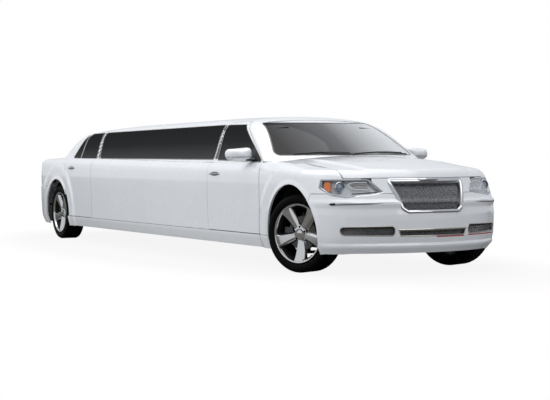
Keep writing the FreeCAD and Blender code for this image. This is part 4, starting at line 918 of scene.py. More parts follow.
# radius, height out from the wheel's middle
SIDEWALL = [(0.2505, 0.088), (0.2505, 0.1038), (0.264, 0.1046), (0.269, 0.1062), (0.272, 0.1085), (0.2735, 0.1082),
            (0.276, 0.1105), (0.288, 0.1185), (0.296, 0.1212), (0.2972, 0.1200), (0.3092, 0.1212), (0.3105, 0.1224),
            (0.322, 0.1212), (0.334, 0.1170), (0.342, 0.1115), (0.3445, 0.1075), (0.3445, 0.0975)]
GROOVED = [(0.3445, 0.066), (0.3435, 0.064), (0.3435, 0.023), (0.3435, 0.019)]
# cast alloy, turned bright on its face; near-black alloy inside the barrel and lug wells, painted shade; ground iron;
# matt black rubber with a fine grain
alloy = finish_of("polished_alloy", "#DAD9D7", "#E4E4E2", 5.0, rough=(0.05, 0.10), metallic=1.0, bump=0.00002,
                  bump_scale=400)
alloy_in_painted_shade = finish_of("painted_shade_alloy", "#121214", "#1E1E20", 8.0, rough=(0.35, 0.5), metallic=0.6, bump=0.0001)
disc_iron = finish_of("ground_iron", "#5C5B5A", "#6E6D6B", 60.0, rough=(0.28, 0.42), metallic=1.0, bump=0.00004,
                      bump_scale=500)
rubber = finish_of("tyre_rubber", "#030303", "#070707", 30.0, rough=(0.55, 0.75), bump=0.00025, bump_scale=900,
                   sockets=[("Specular IOR Level", 0.12)])

barrel = lathed([(RIM, HALF_RIM), (RIM, 0.106), (0.250, 0.104), (0.250, 0.084), (0.236, 0.064), (0.236, -0.064),
                 (0.250, -0.084), (0.250, -0.104), (RIM, -0.106), (RIM, -HALF_RIM), (0.256, -HALF_RIM),
                 (0.226, -0.064), (0.226, 0.060), (0.247, 0.098), (0.253, HALF_RIM - 0.0012)], 120)
lip = lathed([(0.2665, HALF_RIM - 0.001), (0.2650, HALF_RIM + 0.0015), (0.2575, HALF_RIM + 0.0018),
              (0.2520, HALF_RIM - 0.0008), (0.2485, 0.1080), (0.2460, 0.1000), (0.2490, 0.0975), (0.2545, 0.1100),
              (0.2650, 0.1120)], 120)
spokes = repeated("spoke", spoke_form(), alloy, SPOKES, turn=2 * math.pi / SPOKES)
LUG_CIRCLE, LUGS = 0.057, 5
lug_turns = circle(LUGS) + math.pi / LUGS
wells = [(LUG_CIRCLE * math.cos(a), LUG_CIRCLE * math.sin(a)) for a in lug_turns]
hub_line = np.array([(0.0, 0.0855), (0.030, 0.0855), (0.046, 0.0850), (0.060, 0.0835), (0.070, 0.080), (0.076, 0.072),
                     (0.078, 0.040)])
rows, turns = np.linspace(0.02, 6, 40), np.linspace(0, 2 * math.pi, 121)
hub_r, hub_z = (np.interp(rows, range(7), hub_line[:, i]) for i in (0, 1))
grid = np.array([[(r * math.cos(a), r * math.sin(a), z) for a in turns] for r, z in zip(hub_r, hub_z)])
hub = kept((grid.reshape(-1, 3), grid_faces(len(rows), len(turns), other_way=True)),
           lambda v: 0.0105 - np.min([np.hypot(v[:, 0] - a, v[:, 1] - b) for a, b in wells], 0))
cap = lathed([(0.0005, 0.0915), (0.018, 0.0905), (0.0275, 0.0885), (0.0300, 0.0868), (0.0305, 0.0845), (0.0285, 0.0840),
              (0.0005, 0.0840)], 48)
well = lathed([(0.0105, 0.0845), (0.0118, 0.0830), (0.0118, 0.0560), (0.0105, 0.0560), (0.0100, 0.0575)], 24)
nut = lathed([(0.0004, 0.074), (0.0052, 0.0735), (0.0066, 0.0715), (0.0075, 0.064), (0.0075, 0.0565),
              (0.0004, 0.0565)], 6)
moved = lambda sheet, x, y, z=0.0: (sheet[0] + np.array([x, y, z]), sheet[1])
sunken = repeated("lug_well", moved(well, *wells[0]), alloy_in_painted_shade, LUGS, turn=2 * math.pi / LUGS)
nuts = repeated("lug_nut", moved(nut, *wells[0]), alloy, LUGS, turn=2 * math.pi / LUGS)
valve = moved(shaft(0.0035, 0.078, 0.104, 12), 0.236 * math.cos(0.63), 0.236 * math.sin(0.63))
face_sheet = together(lip, spokes, hub, cap, nuts, valve)
# the barrel and the lug wells, coloured near black as painted shade behind the spokes
painted_shade_sheet = together(barrel, sunken)
tread = repeated("tread_blocks", tread_form(), rubber, TREAD_PITCHES, turn=2 * math.pi / TREAD_PITCHES)
inside_line = [(0.270, -0.094), (0.308, -0.108), (0.336, -0.088)]
over = lambda line: [(r, -z) for r, z in reversed(line)]
profile = SIDEWALL + GROOVED + over(GROOVED) + over(SIDEWALL) + inside_line + over(inside_line)
tyre_sheet = together(lathed(profile, 120), tread)


def on_axle(sheet, axle, out, side, steer):
    """A wheel-local sheet set on the car: local Z away from the car, local Y up, one spoke straight down."""
    v, t = sheet
    down = -math.pi / 2
    c, s = math.cos(down), math.sin(down)
    x, y = v[:, 0] * c - v[:, 1] * s, v[:, 0] * s + v[:, 1] * c
    placed = np.stack([x, side * v[:, 2], y], 1)
    c, s = math.cos(steer), math.sin(steer)
    turned = np.stack([placed[:, 0] * c - placed[:, 1] * s, placed[:, 0] * s + placed[:, 1] * c, placed[:, 2]], 1)
    return turned + np.array([axle, side * out, WHEEL_Z]), t


def seated(name, sheet, material, body, replaces=(), sharp=32):
    """A finished piece with its faces turned outwards, riding on a body."""
    return set_on(made(name, sheet, material, sharp), body, replaces)


disc_sheet = disc_form()
for corner, axle, out, side, steer in WHEELS:
    place_wheel = lambda sheet: on_axle(sheet, axle, out, side, steer)
    seated("wheel_face_" + corner, place_wheel(face_sheet), alloy, "wheel_" + corner,
           ["rim_" + corner], 28)
    seated("wheel_barrel_" + corner, place_wheel(painted_shade_sheet), alloy_in_painted_shade, "wheel_" + corner)
    seated("brake_disc_" + corner, place_wheel(disc_sheet), disc_iron, "wheel_" + corner)
    seated("tyre_skin_" + corner, place_wheel(tyre_sheet), rubber, "wheel_" + corner, ["tyre_" + corner], 35)

# ---- front grilles and their frames
# A chromed frame with a bare raised place at its top holds a mesh of crossed wires; three low meshes sit in the bumper
# behind slim bright frames. The frames clip into the cover's edges.
AHEAD, BEHIND, ASIDE = 4.4, -4.4, 1.05
# plated plastic, brushed steel, grained black plastic, drawn wire and a red enamel line
chrome = finish_of("bright_chrome", "#BEBFC2", "#CFD0D3", 3.0, rough=(0.05, 0.09), metallic=1.0)
soft_chrome = finish_of("brushed_trim", "#A8A39C", "#BDB9B2", 12.0, rough=(0.14, 0.22), metallic=1.0)
black_trim = finish_of("black_plastic", "#0A0A0B", "#131314", 20.0, rough=(0.35, 0.5), bump=0.0001, bump_scale=700)
wire_grey = finish_of("mesh_wire", "#838387", "#96969A", 30.0, rough=(0.22, 0.34), metallic=0.9)
red_line = finish_of("red_enamel", "#9E1116", "#B3171C", 8.0, rough=(0.15, 0.25), bump=0.00004, bump_scale=200)


def closed_line(outline):
    """A rounded outline as a row of points whose last one isn't its first again."""
    flat = np.array(rounded(outline))[:, :2]
    return flat[:-1] if np.hypot(*(flat[0] - flat[-1])) < 1e-9 else flat


def evenly(flat, pitch=0.01, count=None):
    """A closed row of points, stepped evenly."""
    closed = np.vstack([flat, flat[:1]])
    run = np.r_[0, np.cumsum(np.hypot(*np.diff(closed, axis=0).T))]
    at = np.linspace(0, run[-1], count or max(12, int(run[-1] / pitch)), endpoint=False)
    return np.stack([np.interp(at, run, closed[:, 0]), np.interp(at, run, closed[:, 1])], 1)


def outline_line(outline, axes, form, start, pitch=0.01):
    """An outline laid on a form as an evenly stepped closed row of points, from a start value on the third axis."""
    flat = evenly(closed_line(outline), pitch)
    third = 3 - axes[0] - axes[1]
    points = np.zeros((len(flat), 3))
    points[:, axes[0]], points[:, axes[1]], points[:, third] = flat[:, 0], flat[:, 1], start
    return on_form(form, points, third)


def moulding(line, form, section, closed=True, scale=None, flip=1.0):
    """A strip along a row of points: each section point is (across the strip, out of the surface)."""
    line = np.asarray(line, float)
    ahead = np.roll(line, -1, 0) - np.roll(line, 1, 0)
    if not closed:
        ahead[0], ahead[-1] = line[1] - line[0], line[-1] - line[-2]
    ahead /= np.linalg.norm(ahead, axis=1)[:, None]
    out = outward(form, line)
    across = np.cross(out, ahead) * flip
    across /= np.linalg.norm(across, axis=1)[:, None]
    size = np.ones(len(line)) if scale is None else scale
    rings = [[p + a * s * c + n * s * o for a, n in section] for p, c, o, s in zip(line, across, out, size)]
    return band(rings, closed="both" if closed else True)


def inward_sign(line, form, axes):
    """Which way across a closed strip its outline's inside lies."""
    out, ahead = outward(form, line), np.roll(line, -1, 0) - np.roll(line, 1, 0)
    across = np.cross(out, ahead)
    centre = line.mean(0)
    lean = ((centre - line) * across)[:, list(axes)].sum()
    return 1.0 if lean > 0 else -1.0


def framed(outline, axes, form, start, section):
    """A closed strip round an outline whose section is measured inwards from it."""
    line = outline_line(outline, axes, form, start)
    return moulding(line, form, section, True, None, inward_sign(line, form, axes))


def woven(name, outline, depth, low, high, half, spacing=0.0145, wire=0.0016, slant=0.72):
    """Two crossing families of slanted wires, cut to an outline and laid on the bumper's form at a depth."""
    rise = high - low
    steps = max(6, int(rise / 0.010))
    families = []
    for lean in (1, -1):
        rings = []
        for k in range(steps + 1):
            z = low + rise * k / steps
            weave = 0.0009 * math.cos(math.pi * (z - low) / (spacing * slant)) * lean
            rings.append([(weave + wire * math.cos(a), lean * (z - low) * slant + wire * 1.2 * math.sin(a), z)
                          for a in circle(5)])
        count = int((2 * half + rise * slant) / spacing) + 1
        start = (0, -half - (rise * slant if lean > 0 else 0), 0)
        families.append(repeated(name + ("_rising" if lean > 0 else "_falling"), band(rings), wire_grey, count,
                                 step=(0, spacing, 0), start=start))
    v, t = kept(together(*families), beyond(outline, (1, 2), 0.0))
    ys, zs = np.linspace(v[:, 1].min(), v[:, 1].max(), 50), np.linspace(v[:, 2].min(), v[:, 2].max(), 16)
    grid = np.array([[AHEAD, y, z] for y in ys for z in zs])
    depths = on_form(lower_gap, grid)[:, 0].reshape(50, 16)
    a = (v[:, 1] - ys[0]) / (ys[1] - ys[0])
    b = (v[:, 2] - zs[0]) / (zs[1] - zs[0])
    i, j = np.clip(a.astype(int), 0, 48), np.clip(b.astype(int), 0, 14)
    a, b = a - i, b - j
    base = ((1 - a) * (1 - b) * depths[i, j] + a * (1 - b) * depths[i + 1, j] + (1 - a) * b * depths[i, j + 1]
            + a * b * depths[i + 1, j + 1])
    return np.stack([base - depth + v[:, 0], v[:, 1], v[:, 2]], 1), t


def shrunk(outline, amount):
    """An outline drawn in by an amount, corners kept."""
    return [(p[0], p[1], p[2] if len(p) > 2 else 0) for p in rounded(outline, -amount)]


unit = lambda rows: rows / np.linalg.norm(rows, axis=1)[:, None]
top_line = outline_line(GRILLE, (1, 2), lower_gap, AHEAD, pitch=0.009)
# the frame's row of points, smoothed over the bumper's steps, and its width, greater along the top
terms = lambda p: np.stack([np.ones(len(p)), p[:, 1] ** 2, p[:, 2], p[:, 2] ** 2, p[:, 2] * p[:, 1] ** 2], 1)
smooth = np.linalg.lstsq(terms(top_line), top_line[:, 0], rcond=None)[0]
top_line[:, 0] = terms(top_line) @ smooth + 0.002
side_way = inward_sign(top_line, lower_gap, (1, 2))
widths = 0.034 + 0.018 * ramp((top_line[:, 2] - 0.800) / 0.036)
ahead = unit(np.roll(top_line, -1, 0) - np.roll(top_line, 1, 0))
none = np.zeros(len(top_line))
out = unit(np.stack([none + 0.985, top_line[:, 1] * 0.35, none + 0.17], 1))
across = unit(np.cross(out, ahead) * side_way)
# share of the width, out of the surface
shape = [(0.0, -0.030), (0.0, 0.0015), (0.06, 0.0040), (0.22, 0.0078), (0.45, 0.0088), (0.70, 0.0065), (0.86, 0.0010),
         (0.95, -0.009), (1.0, -0.022), (1.0, -0.048), (0.90, -0.048)]
surround = band([[p + a * c * w + n * o for a, n in shape] for p, c, o, w in zip(top_line, across, out, widths)],
                closed="both")
bare = on_form(lower_gap, [(AHEAD, y, 0.8260) for y in np.linspace(-0.105, 0.105, 40)])
swell = np.sqrt(np.clip(1 - (np.linspace(-1, 1, 40)) ** 4, 0.02, 1))
bare_section = ((-1, -0.004), (-0.86, 0.0025), (-0.5, 0.0055), (0.5, 0.0055), (0.86, 0.0025), (1, -0.004))
bare_rings = [[p + np.array([0, 0, 1]) * h * s * 0.0155 + outward(lower_gap, p[None])[0] * (0.0085 + d * s)
               for h, d in bare_section] for p, s in zip(bare, swell)]
seated("grille_surround_bright", together(surround, band(bare_rings)), chrome, "body",
       ["grille_surround"], 40)
fine = [(0.0, -0.020), (0.0, 0.0012), (0.0016, 0.0028), (0.0050, 0.0032), (0.0085, 0.0018), (0.0095, -0.004),
        (0.0095, -0.020)]
bar = [(-0.008, -0.020), (-0.008, 0.0012), (-0.005, 0.0045), (0.002, 0.0060), (0.007, 0.0040), (0.0085, -0.003),
       (0.0085, -0.020)]
frames = [framed(outline, (1, 2), lower_gap, AHEAD, fine)
          for outline in (LOWER_GRILLE, flipped(LOWER_GRILLE), CENTRE_GRILLE)]
bar_line = on_form(lower_gap, [(AHEAD, y, 0.398) for y in np.linspace(-0.352, 0.352, 70)])
frames.append(moulding(bar_line, lower_gap, bar, closed=False))
seated("lower_grille_frames", together(*frames), soft_chrome, "body", sharp=40)
mesh_sheets = [woven("grille_wire", shrunk(GRILLE, 0.020), 0.038, 0.535, 0.845, 0.400),
               woven("centre_wire", CENTRE_GRILLE, 0.028, 0.334, 0.402, 0.352),
               woven("low_wire_L", LOWER_GRILLE, 0.028, 0.338, 0.442, 0.820),
               woven("low_wire_R", flipped(LOWER_GRILLE), 0.028, 0.338, 0.442, 0.820)]
seated("grille_wires", together(*mesh_sheets), wire_grey, "body", ["grille_mesh"], 50)
flat_strip = [(-0.0045, -0.002), (-0.0045, 0.0014), (0.0, 0.0022), (0.0045, 0.0014), (0.0045, -0.002)]
lines = [on_form(lower_gap, [(AHEAD, y, z) for y in np.linspace(start, stop, count)])
         for z, start, stop, count in ((0.3335, 0.02, 0.335, 40), (0.3375, 0.385, 0.790, 50))]
seated("red_pinstripes", together(*[moulding(line, lower_gap, flat_strip, False) for line in lines]), red_line, "body")

# ---- headlamps
# A silvered bowl under a clear cover, with a chromed inner frame, a round projector lens in a bright ring, a U of
# light bar beside it and an amber reflector at the outer corner. Each bolts between bumper cover, hood and fender.

# moulded clear plastic: see-through face on, shiny at a low angle, with a faint moulding ripple
lamp_clear, tree, shader, place = new_material("clear_cover")
through = tree.nodes.new("ShaderNodeBsdfTransparent")
rim_look = add_node(tree, "ShaderNodeLayerWeight", [("Blend", 0.18)])
softened = add_node(tree, "ShaderNodeMath", [(0, rim_look.outputs["Fresnel"]), (1, 0.55)], operation="MULTIPLY")
shader.inputs["Base Color"].default_value = linear("#F2F4F7")
shader.inputs["Roughness"].default_value = 0.02
shader.inputs["Metallic"].default_value = 0.6
ripple = add_node(tree, "ShaderNodeTexNoise", [("Vector", place), ("Scale", 12.0), ("Detail", 1.0)])
relief = add_node(tree, "ShaderNodeBump", [("Height", ripple.outputs["Fac"]), ("Strength", 0.2), ("Distance", 0.001)])
tree.links.new(relief.outputs[0], shader.inputs["Normal"])
cover_mix = add_node(tree, "ShaderNodeMixShader", [(0, softened.outputs[0]), (1, through.outputs[0]),
                                                   (2, shader.outputs[0])])
tree.links.new(cover_mix.outputs[0], tree.nodes["Material Output"].inputs["Surface"])
amber = finish_of("amber_reflector", "#D8600F", "#EE8A2A", 90.0, rough=(0.12, 0.2), sockets=[("Coat Weight", 0.6)])
lens_blue = finish_of("projector_lens", "#5E6E80", "#93A4B5", 3.0, rough=(0.02, 0.05), sockets=[("Coat Weight", 1.0)])
silver_bowl = finish_of("lamp_reflector", "#C9CCD1", "#DCDFE3", 22.0, rough=(0.16, 0.28), metallic=0.15, bump=0.0003,
                        bump_scale=90)
frosted = finish_of("light_bar", "#D5D9DE", "#E6E9EC", 40.0, rough=(0.2, 0.3), sockets=[("Coat Weight", 0.5)])
red_lens = finish_of("red_lamp", "#6E0B10", "#9A1218", 25.0, rough=(0.06, 0.14), bump=0.0002, bump_scale=160,
                     sockets=[("Coat Weight", 1.0)])


LENS = 0.0385


def ball(centre, radius, flat, rows=14, around=28):
    """A rounded lens, flattened along X."""
    turn = circle(around)
    rings = []
    for a in np.linspace(0.02, math.pi - 0.02, rows):
        r = radius * math.sin(a)
        x = centre[0] + flat * radius * math.cos(a)
        rings.append([(x, centre[1] + r * math.cos(b), centre[2] + r * math.sin(b)) for b in turn])
    return band(rings)


def hoop(centre, radius, section, around=48):
    """A ring round an axis along X; section points are (radius added, along X)."""
    rings = []
    for a in circle(around):
        rings.append([(centre[0] + x, centre[1] + (radius + r) * math.cos(a), centre[2] + (radius + r) * math.sin(a))
                      for r, x in section])
    return band(rings, closed="both")


def sunk_at(y, z, depth):
    """A point inside the lamp, a depth behind the cover."""
    return on_form(lower_gap, [(AHEAD, y, z)])[0] - np.array([depth, 0, 0])


def handed(outline, sign):
    """A left-hand outline, or its mirror image for the right."""
    return outline if sign > 0 else flipped(outline)


def placed(sheet, sign):
    """A left-hand sheet, or its mirror image for the right."""
    return sheet[0] * np.array([1, sign, 1.0]), sheet[1]


for letter, sign in SIDES:
    side_of = lambda sheet: placed(sheet, sign)
    patch = cut(nose, beyond(handed(HEADLAMP, sign), (1, 2), 0.002), above(0, 3.6))
    seated("headlamp_cover_" + letter, thick(lower_gap, patch, 0.003, sunk=0.001), lamp_clear, "body",
           ["headlamps"])
    deep = patch[0] - outward(lower_gap, patch[0]) * 0.040
    seated("headlamp_bowl_" + letter, (deep, patch[1]), silver_bowl, "body")
    wall = [(0.0, -0.042), (0.0, -0.002), (0.007, -0.003), (0.009, -0.010), (0.011, -0.042)]
    seated("headlamp_wall_" + letter, side_of(framed(HEADLAMP, (1, 2), lower_gap, AHEAD, wall)), chrome, "body")
    inner = [(0.010, -0.040), (0.010, -0.008), (0.0125, -0.0060), (0.0165, -0.0080), (0.024, -0.030), (0.024, -0.040)]
    eye = sunk_at(0.762, 0.764, 0.020)
    ring_section = [(0.0, -0.022), (0.010, -0.020), (0.013, 0.002), (0.009, 0.007), (0.003, 0.004), (0.0, -0.004)]
    bright = [framed(HEADLAMP, (1, 2), lower_gap, AHEAD, inner), hoop(eye, LENS, ring_section)]
    shelf = [sunk_at(y, z, 0.022) for y, z in zip(np.linspace(0.475, 0.690, 26), np.linspace(0.7275, 0.7160, 26))]
    bright.append(moulding(shelf, lower_gap, [(-0.004, -0.012), (-0.004, 0.002), (0.0, 0.004), (0.004, 0.002),
                                              (0.004, -0.012)], closed=False))
    seated("headlamp_chrome_" + letter, side_of(together(*bright)), chrome, "body")
    lens = ball(eye - np.array([0.010, 0, 0]), LENS, 0.55)
    seated("headlamp_lens_" + letter, side_of(lens), lens_blue, "body")
    path = np.array([(0.555, 0.806), (0.650, 0.807), (0.690, 0.800), (0.700, 0.784), (0.688, 0.760), (0.660, 0.748),
                     (0.600, 0.746), (0.535, 0.748)])
    run = np.r_[0, np.cumsum(np.hypot(*np.diff(path, axis=0).T))]
    u_line = [sunk_at(np.interp(s, run, path[:, 0]), np.interp(s, run, path[:, 1]), 0.018)
              for s in np.linspace(0, run[-1], 60)]
    tube = [(0.0062 * math.cos(a), 0.0062 * math.sin(a)) for a in circle(8)]
    seated("headlamp_bar_" + letter, side_of(moulding(u_line, lower_gap, tube, closed=False)), frosted, "body")
    slat = [(-0.0025, -0.006), (-0.0025, 0.003), (0.0025, 0.003), (0.0025, -0.006)]
    slats = [moulding([sunk_at(y, z, 0.026) for y in np.linspace(0.548, 0.676, 16)], lower_gap, slat, False)
             for z in (0.763, 0.776, 0.789)]
    seated("headlamp_slats_" + letter, side_of(together(*slats)), soft_chrome, "body")
    corner_outline = [(0.822, 0.816, 0.004), (0.858, 0.818, 0.006), (0.874, 0.762, 0.010), (0.842, 0.722, 0.006)]
    patch = cut(nose, beyond(handed(corner_outline, sign), (1, 2), 0.0), above(0, 3.5))
    seated("headlamp_amber_" + letter, thick(lower_gap, patch, 0.004, sunk=0.012), amber, "body")

# ---- bumper strips
# A slim chromed strip under each lamp, growing from a point and ending in a short black piece at the corner. Each
# clips into a groove of the bumper cover.
strip = [(-0.011, -0.002), (-0.010, 0.0030), (-0.004, 0.0065), (0.004, 0.0065), (0.010, 0.0030), (0.011, -0.002)]
STEPS, BRIGHT_STEPS = 70, 62
share = np.linspace(0, 1, STEPS)
grow = np.clip(share / 0.30, 0.12, 1) * np.clip((1 - share) / 0.03, 0.3, 1)
for letter, sign in SIDES:
    row = on_form(lower_gap, [(AHEAD, sign * y, 0.631 - 0.010 * ((y - 0.5) / 0.4) ** 2)
                              for y in np.linspace(0.470, 0.872, STEPS)])
    first, last = slice(0, BRIGHT_STEPS + 1), slice(BRIGHT_STEPS, STEPS)
    seated("bumper_strip_" + letter, moulding(row[first], lower_gap, strip, False, grow[first]), chrome, "body")
    seated("bumper_strip_end_" + letter, moulding(row[last], lower_gap, strip, False, grow[last]), black_trim, "body")

# ---- tail lamps and rear trim
# Upright lamps of red plastic with a frosted bar and a chromed edge, let into the rear corners, and a chromed bar
# across the boot lid over the bare plate place. All are screwed on from inside.
lamp_edge = [(0.0015, -0.030), (0.0015, 0.001), (0.004, 0.0030), (0.008, 0.0028), (0.0105, -0.001), (0.0105, -0.030)]
lamp_bar = [(-0.012, -0.004), (-0.011, 0.003), (0.011, 0.003), (0.012, -0.004)]
boot_section = [(-0.016, -0.001), (-0.014, 0.006), (-0.004, 0.010), (0.004, 0.010), (0.014, 0.006), (0.016, -0.001)]
for letter, sign in SIDES:
    lamp_outline = handed(TAIL_LAMP, sign)
    patch = cut(tail, beyond(lamp_outline, (1, 2), 0.010), below(0, -3.6))
    seated("tail_lamp_lens_" + letter, thick(lower_gap, patch, 0.020, sunk=-0.0015), red_lens, "body",
           ["tail_lamps"])
    edge = framed(lamp_outline, (1, 2), lower_gap, BEHIND, lamp_edge)
    seated("tail_lamp_edge_" + letter, edge, chrome, "body")
    mid = on_form(lower_gap, [(BEHIND, sign * y, 0.862) for y in np.linspace(0.700, 0.845, 24)])
    seated("tail_lamp_bar_" + letter, moulding(mid, lower_gap, lamp_bar, False), frosted, "body")
bar_row = on_form(lower_gap, [(BEHIND, y, 0.950) for y in np.linspace(-0.36, 0.36, 80)])
seated("boot_bar", moulding(bar_row, lower_gap, boot_section, False), chrome, "boot_lid")

# ---- window trim, pillar covers and screen seals
# Slim bright strips folded from steel run round each side window; gloss black covers fill the pillars between the
# panes, and black seals edge the two screens. They clip to the door frames and the roof and move with them.
OFF_SCREEN, OFF_REAR_SCREEN = 3.2, -4.0
slim = [(-0.0075, -0.003), (-0.0075, 0.0012), (-0.0055, 0.0030), (0.0005, 0.0030), (0.0025, 0.0012), (0.0025, -0.003)]
screen_edge = [(-0.0020, -0.004), (-0.0020, 0.0008), (0.000, 0.0016), (0.010, 0.0014), (0.0115, -0.004)]
gloss_black = finish_of("gloss_black", "#060607", "#0C0C0E", 6.0, rough=(0.06, 0.12), bump=0.00003, bump_scale=200,
                        sockets=[("Coat Weight", 0.6)])


def filled(outline, sign, lift=0.0030, depth=0.004):
    """A thin cover over part of a cabin side, its outline told by x and z."""
    patch = cut(high_middle, beyond([(x, z, 0) for x, z in outline], (0, 2), 0.0), on_side(sign, 0.3))
    return thick(cabin_gap, patch, depth, sunk=-lift)


# name, body on that side, outline
PILLAR_COVERS = (
    ("front_pillar_cover_", "front_door_", [(1.6865, 1.024), (1.6105, 1.372), (1.6000, 1.372), (1.6270, 1.024)]),
    ("body_pillar_cover_", "", [(1.6130, 1.028), (1.5880, 1.374), (1.5660, 1.374), (1.6060, 1.028)]),
    ("rear_pillar_cover_", "rear_door_", [(-1.898, 1.060), (-1.992, 1.374), (-2.014, 1.374), (-1.928, 1.060)]),
    ("stretch_pillar_cover_", "", [(-1.818, 1.060), (-1.958, 1.374), (-1.972, 1.374), (-1.872, 1.060)]),
    ("quarter_divider_", "rear_door_", [(-2.523, 1.068), (-2.523, 1.370), (-2.539, 1.370), (-2.539, 1.068)]))
for letter, sign in SIDES:
    edge = lambda outline: framed(outline, (0, 2), cabin_gap, sign * ASIDE, slim)
    seated("front_window_trim_" + letter, edge(FRONT_GLASS), soft_chrome, "front_door_" + letter, sharp=40)
    seated("rear_window_trim_" + letter, together(edge(REAR_GLASS), edge(QUARTER_GLASS)), soft_chrome,
           "rear_door_" + letter, sharp=40)
    seated("side_window_trim_" + letter, edge(LONG_GLASS), soft_chrome, "body", sharp=40)
    for name, door, outline in PILLAR_COVERS:
        seated(name + letter, filled(outline, sign), gloss_black, door + letter if door else "body")
seated("screen_seal", framed(SCREEN, (1, 2), cabin_gap, OFF_SCREEN, screen_edge), gloss_black, "body")
seated("rear_screen_seal", framed(REAR_SCREEN, (1, 2), cabin_gap, OFF_REAR_SCREEN, screen_edge), gloss_black, "body")

# ---- door mirrors
# Painted shells on black feet, each with a dark band across its front and a silvered glass at its back, bolted to the
# front door's window corner.
mirror_glass = finish_of("mirror_silver", "#C9CDD2", "#D2D6DB", 2.0, rough=(0.01, 0.03), metallic=1.0)
head_line = evenly(closed_line([(0.874, 1.007, 0.030), (1.133, 1.012, 0.050), (1.140, 1.116, 0.052),
                                (0.874, 1.138, 0.040)]), count=96)
head_middle = np.array([1.000, 1.068])


def mirror_ring(x, size, grow=0.0):
    """One ring of the mirror's head, drawn in about its middle."""
    lean = head_line - head_middle
    lean = lean * size + unit(lean) * grow
    return np.stack([np.full(len(lean), x), *(lean + head_middle).T], 1)


def mirror_nose(share, grow=0.0):
    """A ring of the rounded front, which closes as share runs from 0 to 1."""
    size = max(1 - 0.985 * (1 - math.cos(share * math.pi / 2)) ** 1.25, 0.02)
    return mirror_ring(2.442 + 0.122 * math.sin(share * math.pi / 2), size, grow)


shares = np.linspace(0, 1, 26)
rear_lip = [mirror_ring(2.452, 0.90), mirror_ring(2.440, 0.93), mirror_ring(2.437, 0.965)]
shell = band(rear_lip + [mirror_nose(s) for s in shares])
stripe = cut(band([mirror_nose(s, 0.0020) for s in shares]), within(above(2, 1.040), below(2, 1.0445), above(0, 2.447)))
inner_glass = band([mirror_ring(2.456, 0.885), mirror_ring(2.4440, 0.885), mirror_ring(2.4425, 0.87)])
arm = band([[(2.500 + (0.030 + 0.020 * s) * math.cos(a) + 0.010 * s, 0.945 - 0.135 * s,
              1.022 - 0.010 * s + (0.013 + 0.006 * s) * math.sin(a))
             for a in circle(24)] for s in np.linspace(0, 1, 10)])
for letter, sign in SIDES:
    door = "front_door_" + letter
    seated("mirror_shell_" + letter, placed(shell, sign), white_paint, door, ["mirror_" + letter])
    seated("mirror_band_" + letter, placed(stripe, sign), black_trim, door)
    seated("mirror_glass_" + letter, placed(inner_glass, sign), mirror_glass, door)
    seated("mirror_arm_" + letter, placed(arm, sign), black_trim, door)
    sail = filled([(2.686, 1.005), (2.430, 1.140), (2.430, 1.005)], sign, lift=0.0035)
    seated("mirror_sail_" + letter, sail, black_trim, door)

# ---- door handles
# Bright plated pull bars, cast and polished, on the four doors, each over a thin gloss black patch laid on the paint
# as painted shade for the recess behind it. Each is bolted through the door's panel at both ends.
handle_section = [(0.0085 * math.cos(a), 0.0058 * math.sin(a)) for a in circle(16)]
# door, its handle's two ends along the car and its height
for name, x0, x1, z in (("front", 1.675, 1.915, 0.880), ("rear", -2.743, -2.503, 0.938)):
    for letter, sign in SIDES:
        door = name + "_door_" + letter
        oval = [(0.5 * (x0 + x1) + 0.105 * math.cos(a), z + 0.021 * math.sin(a), 0)
                for a in circle(40)]
        # a thin dark patch just proud of the paint: painted shade of the handle's recess
        recess_shade_patch = cut(middle, beyond(oval, (0, 2), 0.0), on_side(sign, 0.3))
        seated(name + "_handle_dish_" + letter, thick(lower_gap, recess_shade_patch, 0.0012, sunk=-0.0007), gloss_black, door)
        base = on_form(lower_gap, [(x, sign * ASIDE, z) for x in np.linspace(x0, x1, 60)], 1)
        reach = 0.017 * np.clip(np.sin(np.linspace(0, math.pi, 60)), 0, 1) ** 0.35
        rings = [[p + o * (r + n) + np.array([0, 0, 1]) * a * (0.75 + 0.25 * min(1, r / 0.015))
                  for a, n in handle_section] for p, o, r in zip(base, outward(lower_gap, base), reach)]
        seated(name + "_handle_" + letter, band(rings), chrome, door)

# ---- wipers
# Two black rubber blades rest at the foot of the windscreen. Each is clipped to a pressed steel arm, painted black,
# that pivots on the cowl.
blade_section = [(-0.004, 0.002), (-0.005, 0.007), (-0.002, 0.012), (0.002, 0.012), (0.005, 0.007), (0.004, 0.002)]
arm_section = [(-0.006, 0.010), (-0.004, 0.018), (0.004, 0.018), (0.006, 0.010)]
on_screen = lambda y, z: (OFF_SCREEN, y, z)
wiper_parts = []
for y0, y1, pivot in ((0.62, 0.02, 0.66), (-0.02, -0.60, 0.02)):
    blade = [on_screen(y, 1.066 + 0.012 * math.cos((y - y0) / (y1 - y0) * math.pi - 1.2))
             for y in np.linspace(y0, y1, 50)]
    wiper_parts.append(moulding(on_form(cabin_gap, blade), cabin_gap, blade_section, False))
    joint, foot = on_form(cabin_gap, [on_screen(0.5 * (y0 + y1), 1.070), on_screen(pivot, 1.052)])
    line = [foot + (joint - foot) * s for s in np.linspace(0, 1, 20)]
    wiper_parts.append(moulding(line, cabin_gap, arm_section, False))
seated("wipers", together(*wiper_parts), black_trim, "body")

# ---- seats and cushions
# Foam cushions under black leather with stitched channels and piped edges, on the front seats, the long side bench
# and the rear bench. Each is screwed to the base under it.
leather = finish_of("black_leather", "#0B0B0D", "#161619", 14.0, rough=(0.36, 0.50), bump=0.0005, bump_scale=520,
                    sockets=[("Specular IOR Level", 0.45)])
soft_black = finish_of("dash_skin", "#0E0E10", "#19191B", 30.0, rough=(0.5, 0.65), bump=0.0003, bump_scale=650)
seeded = np.random.default_rng(11)
waves = [(seeded.normal(size=3) * 9, seeded.uniform(0, 6.28)) for _ in range(7)]


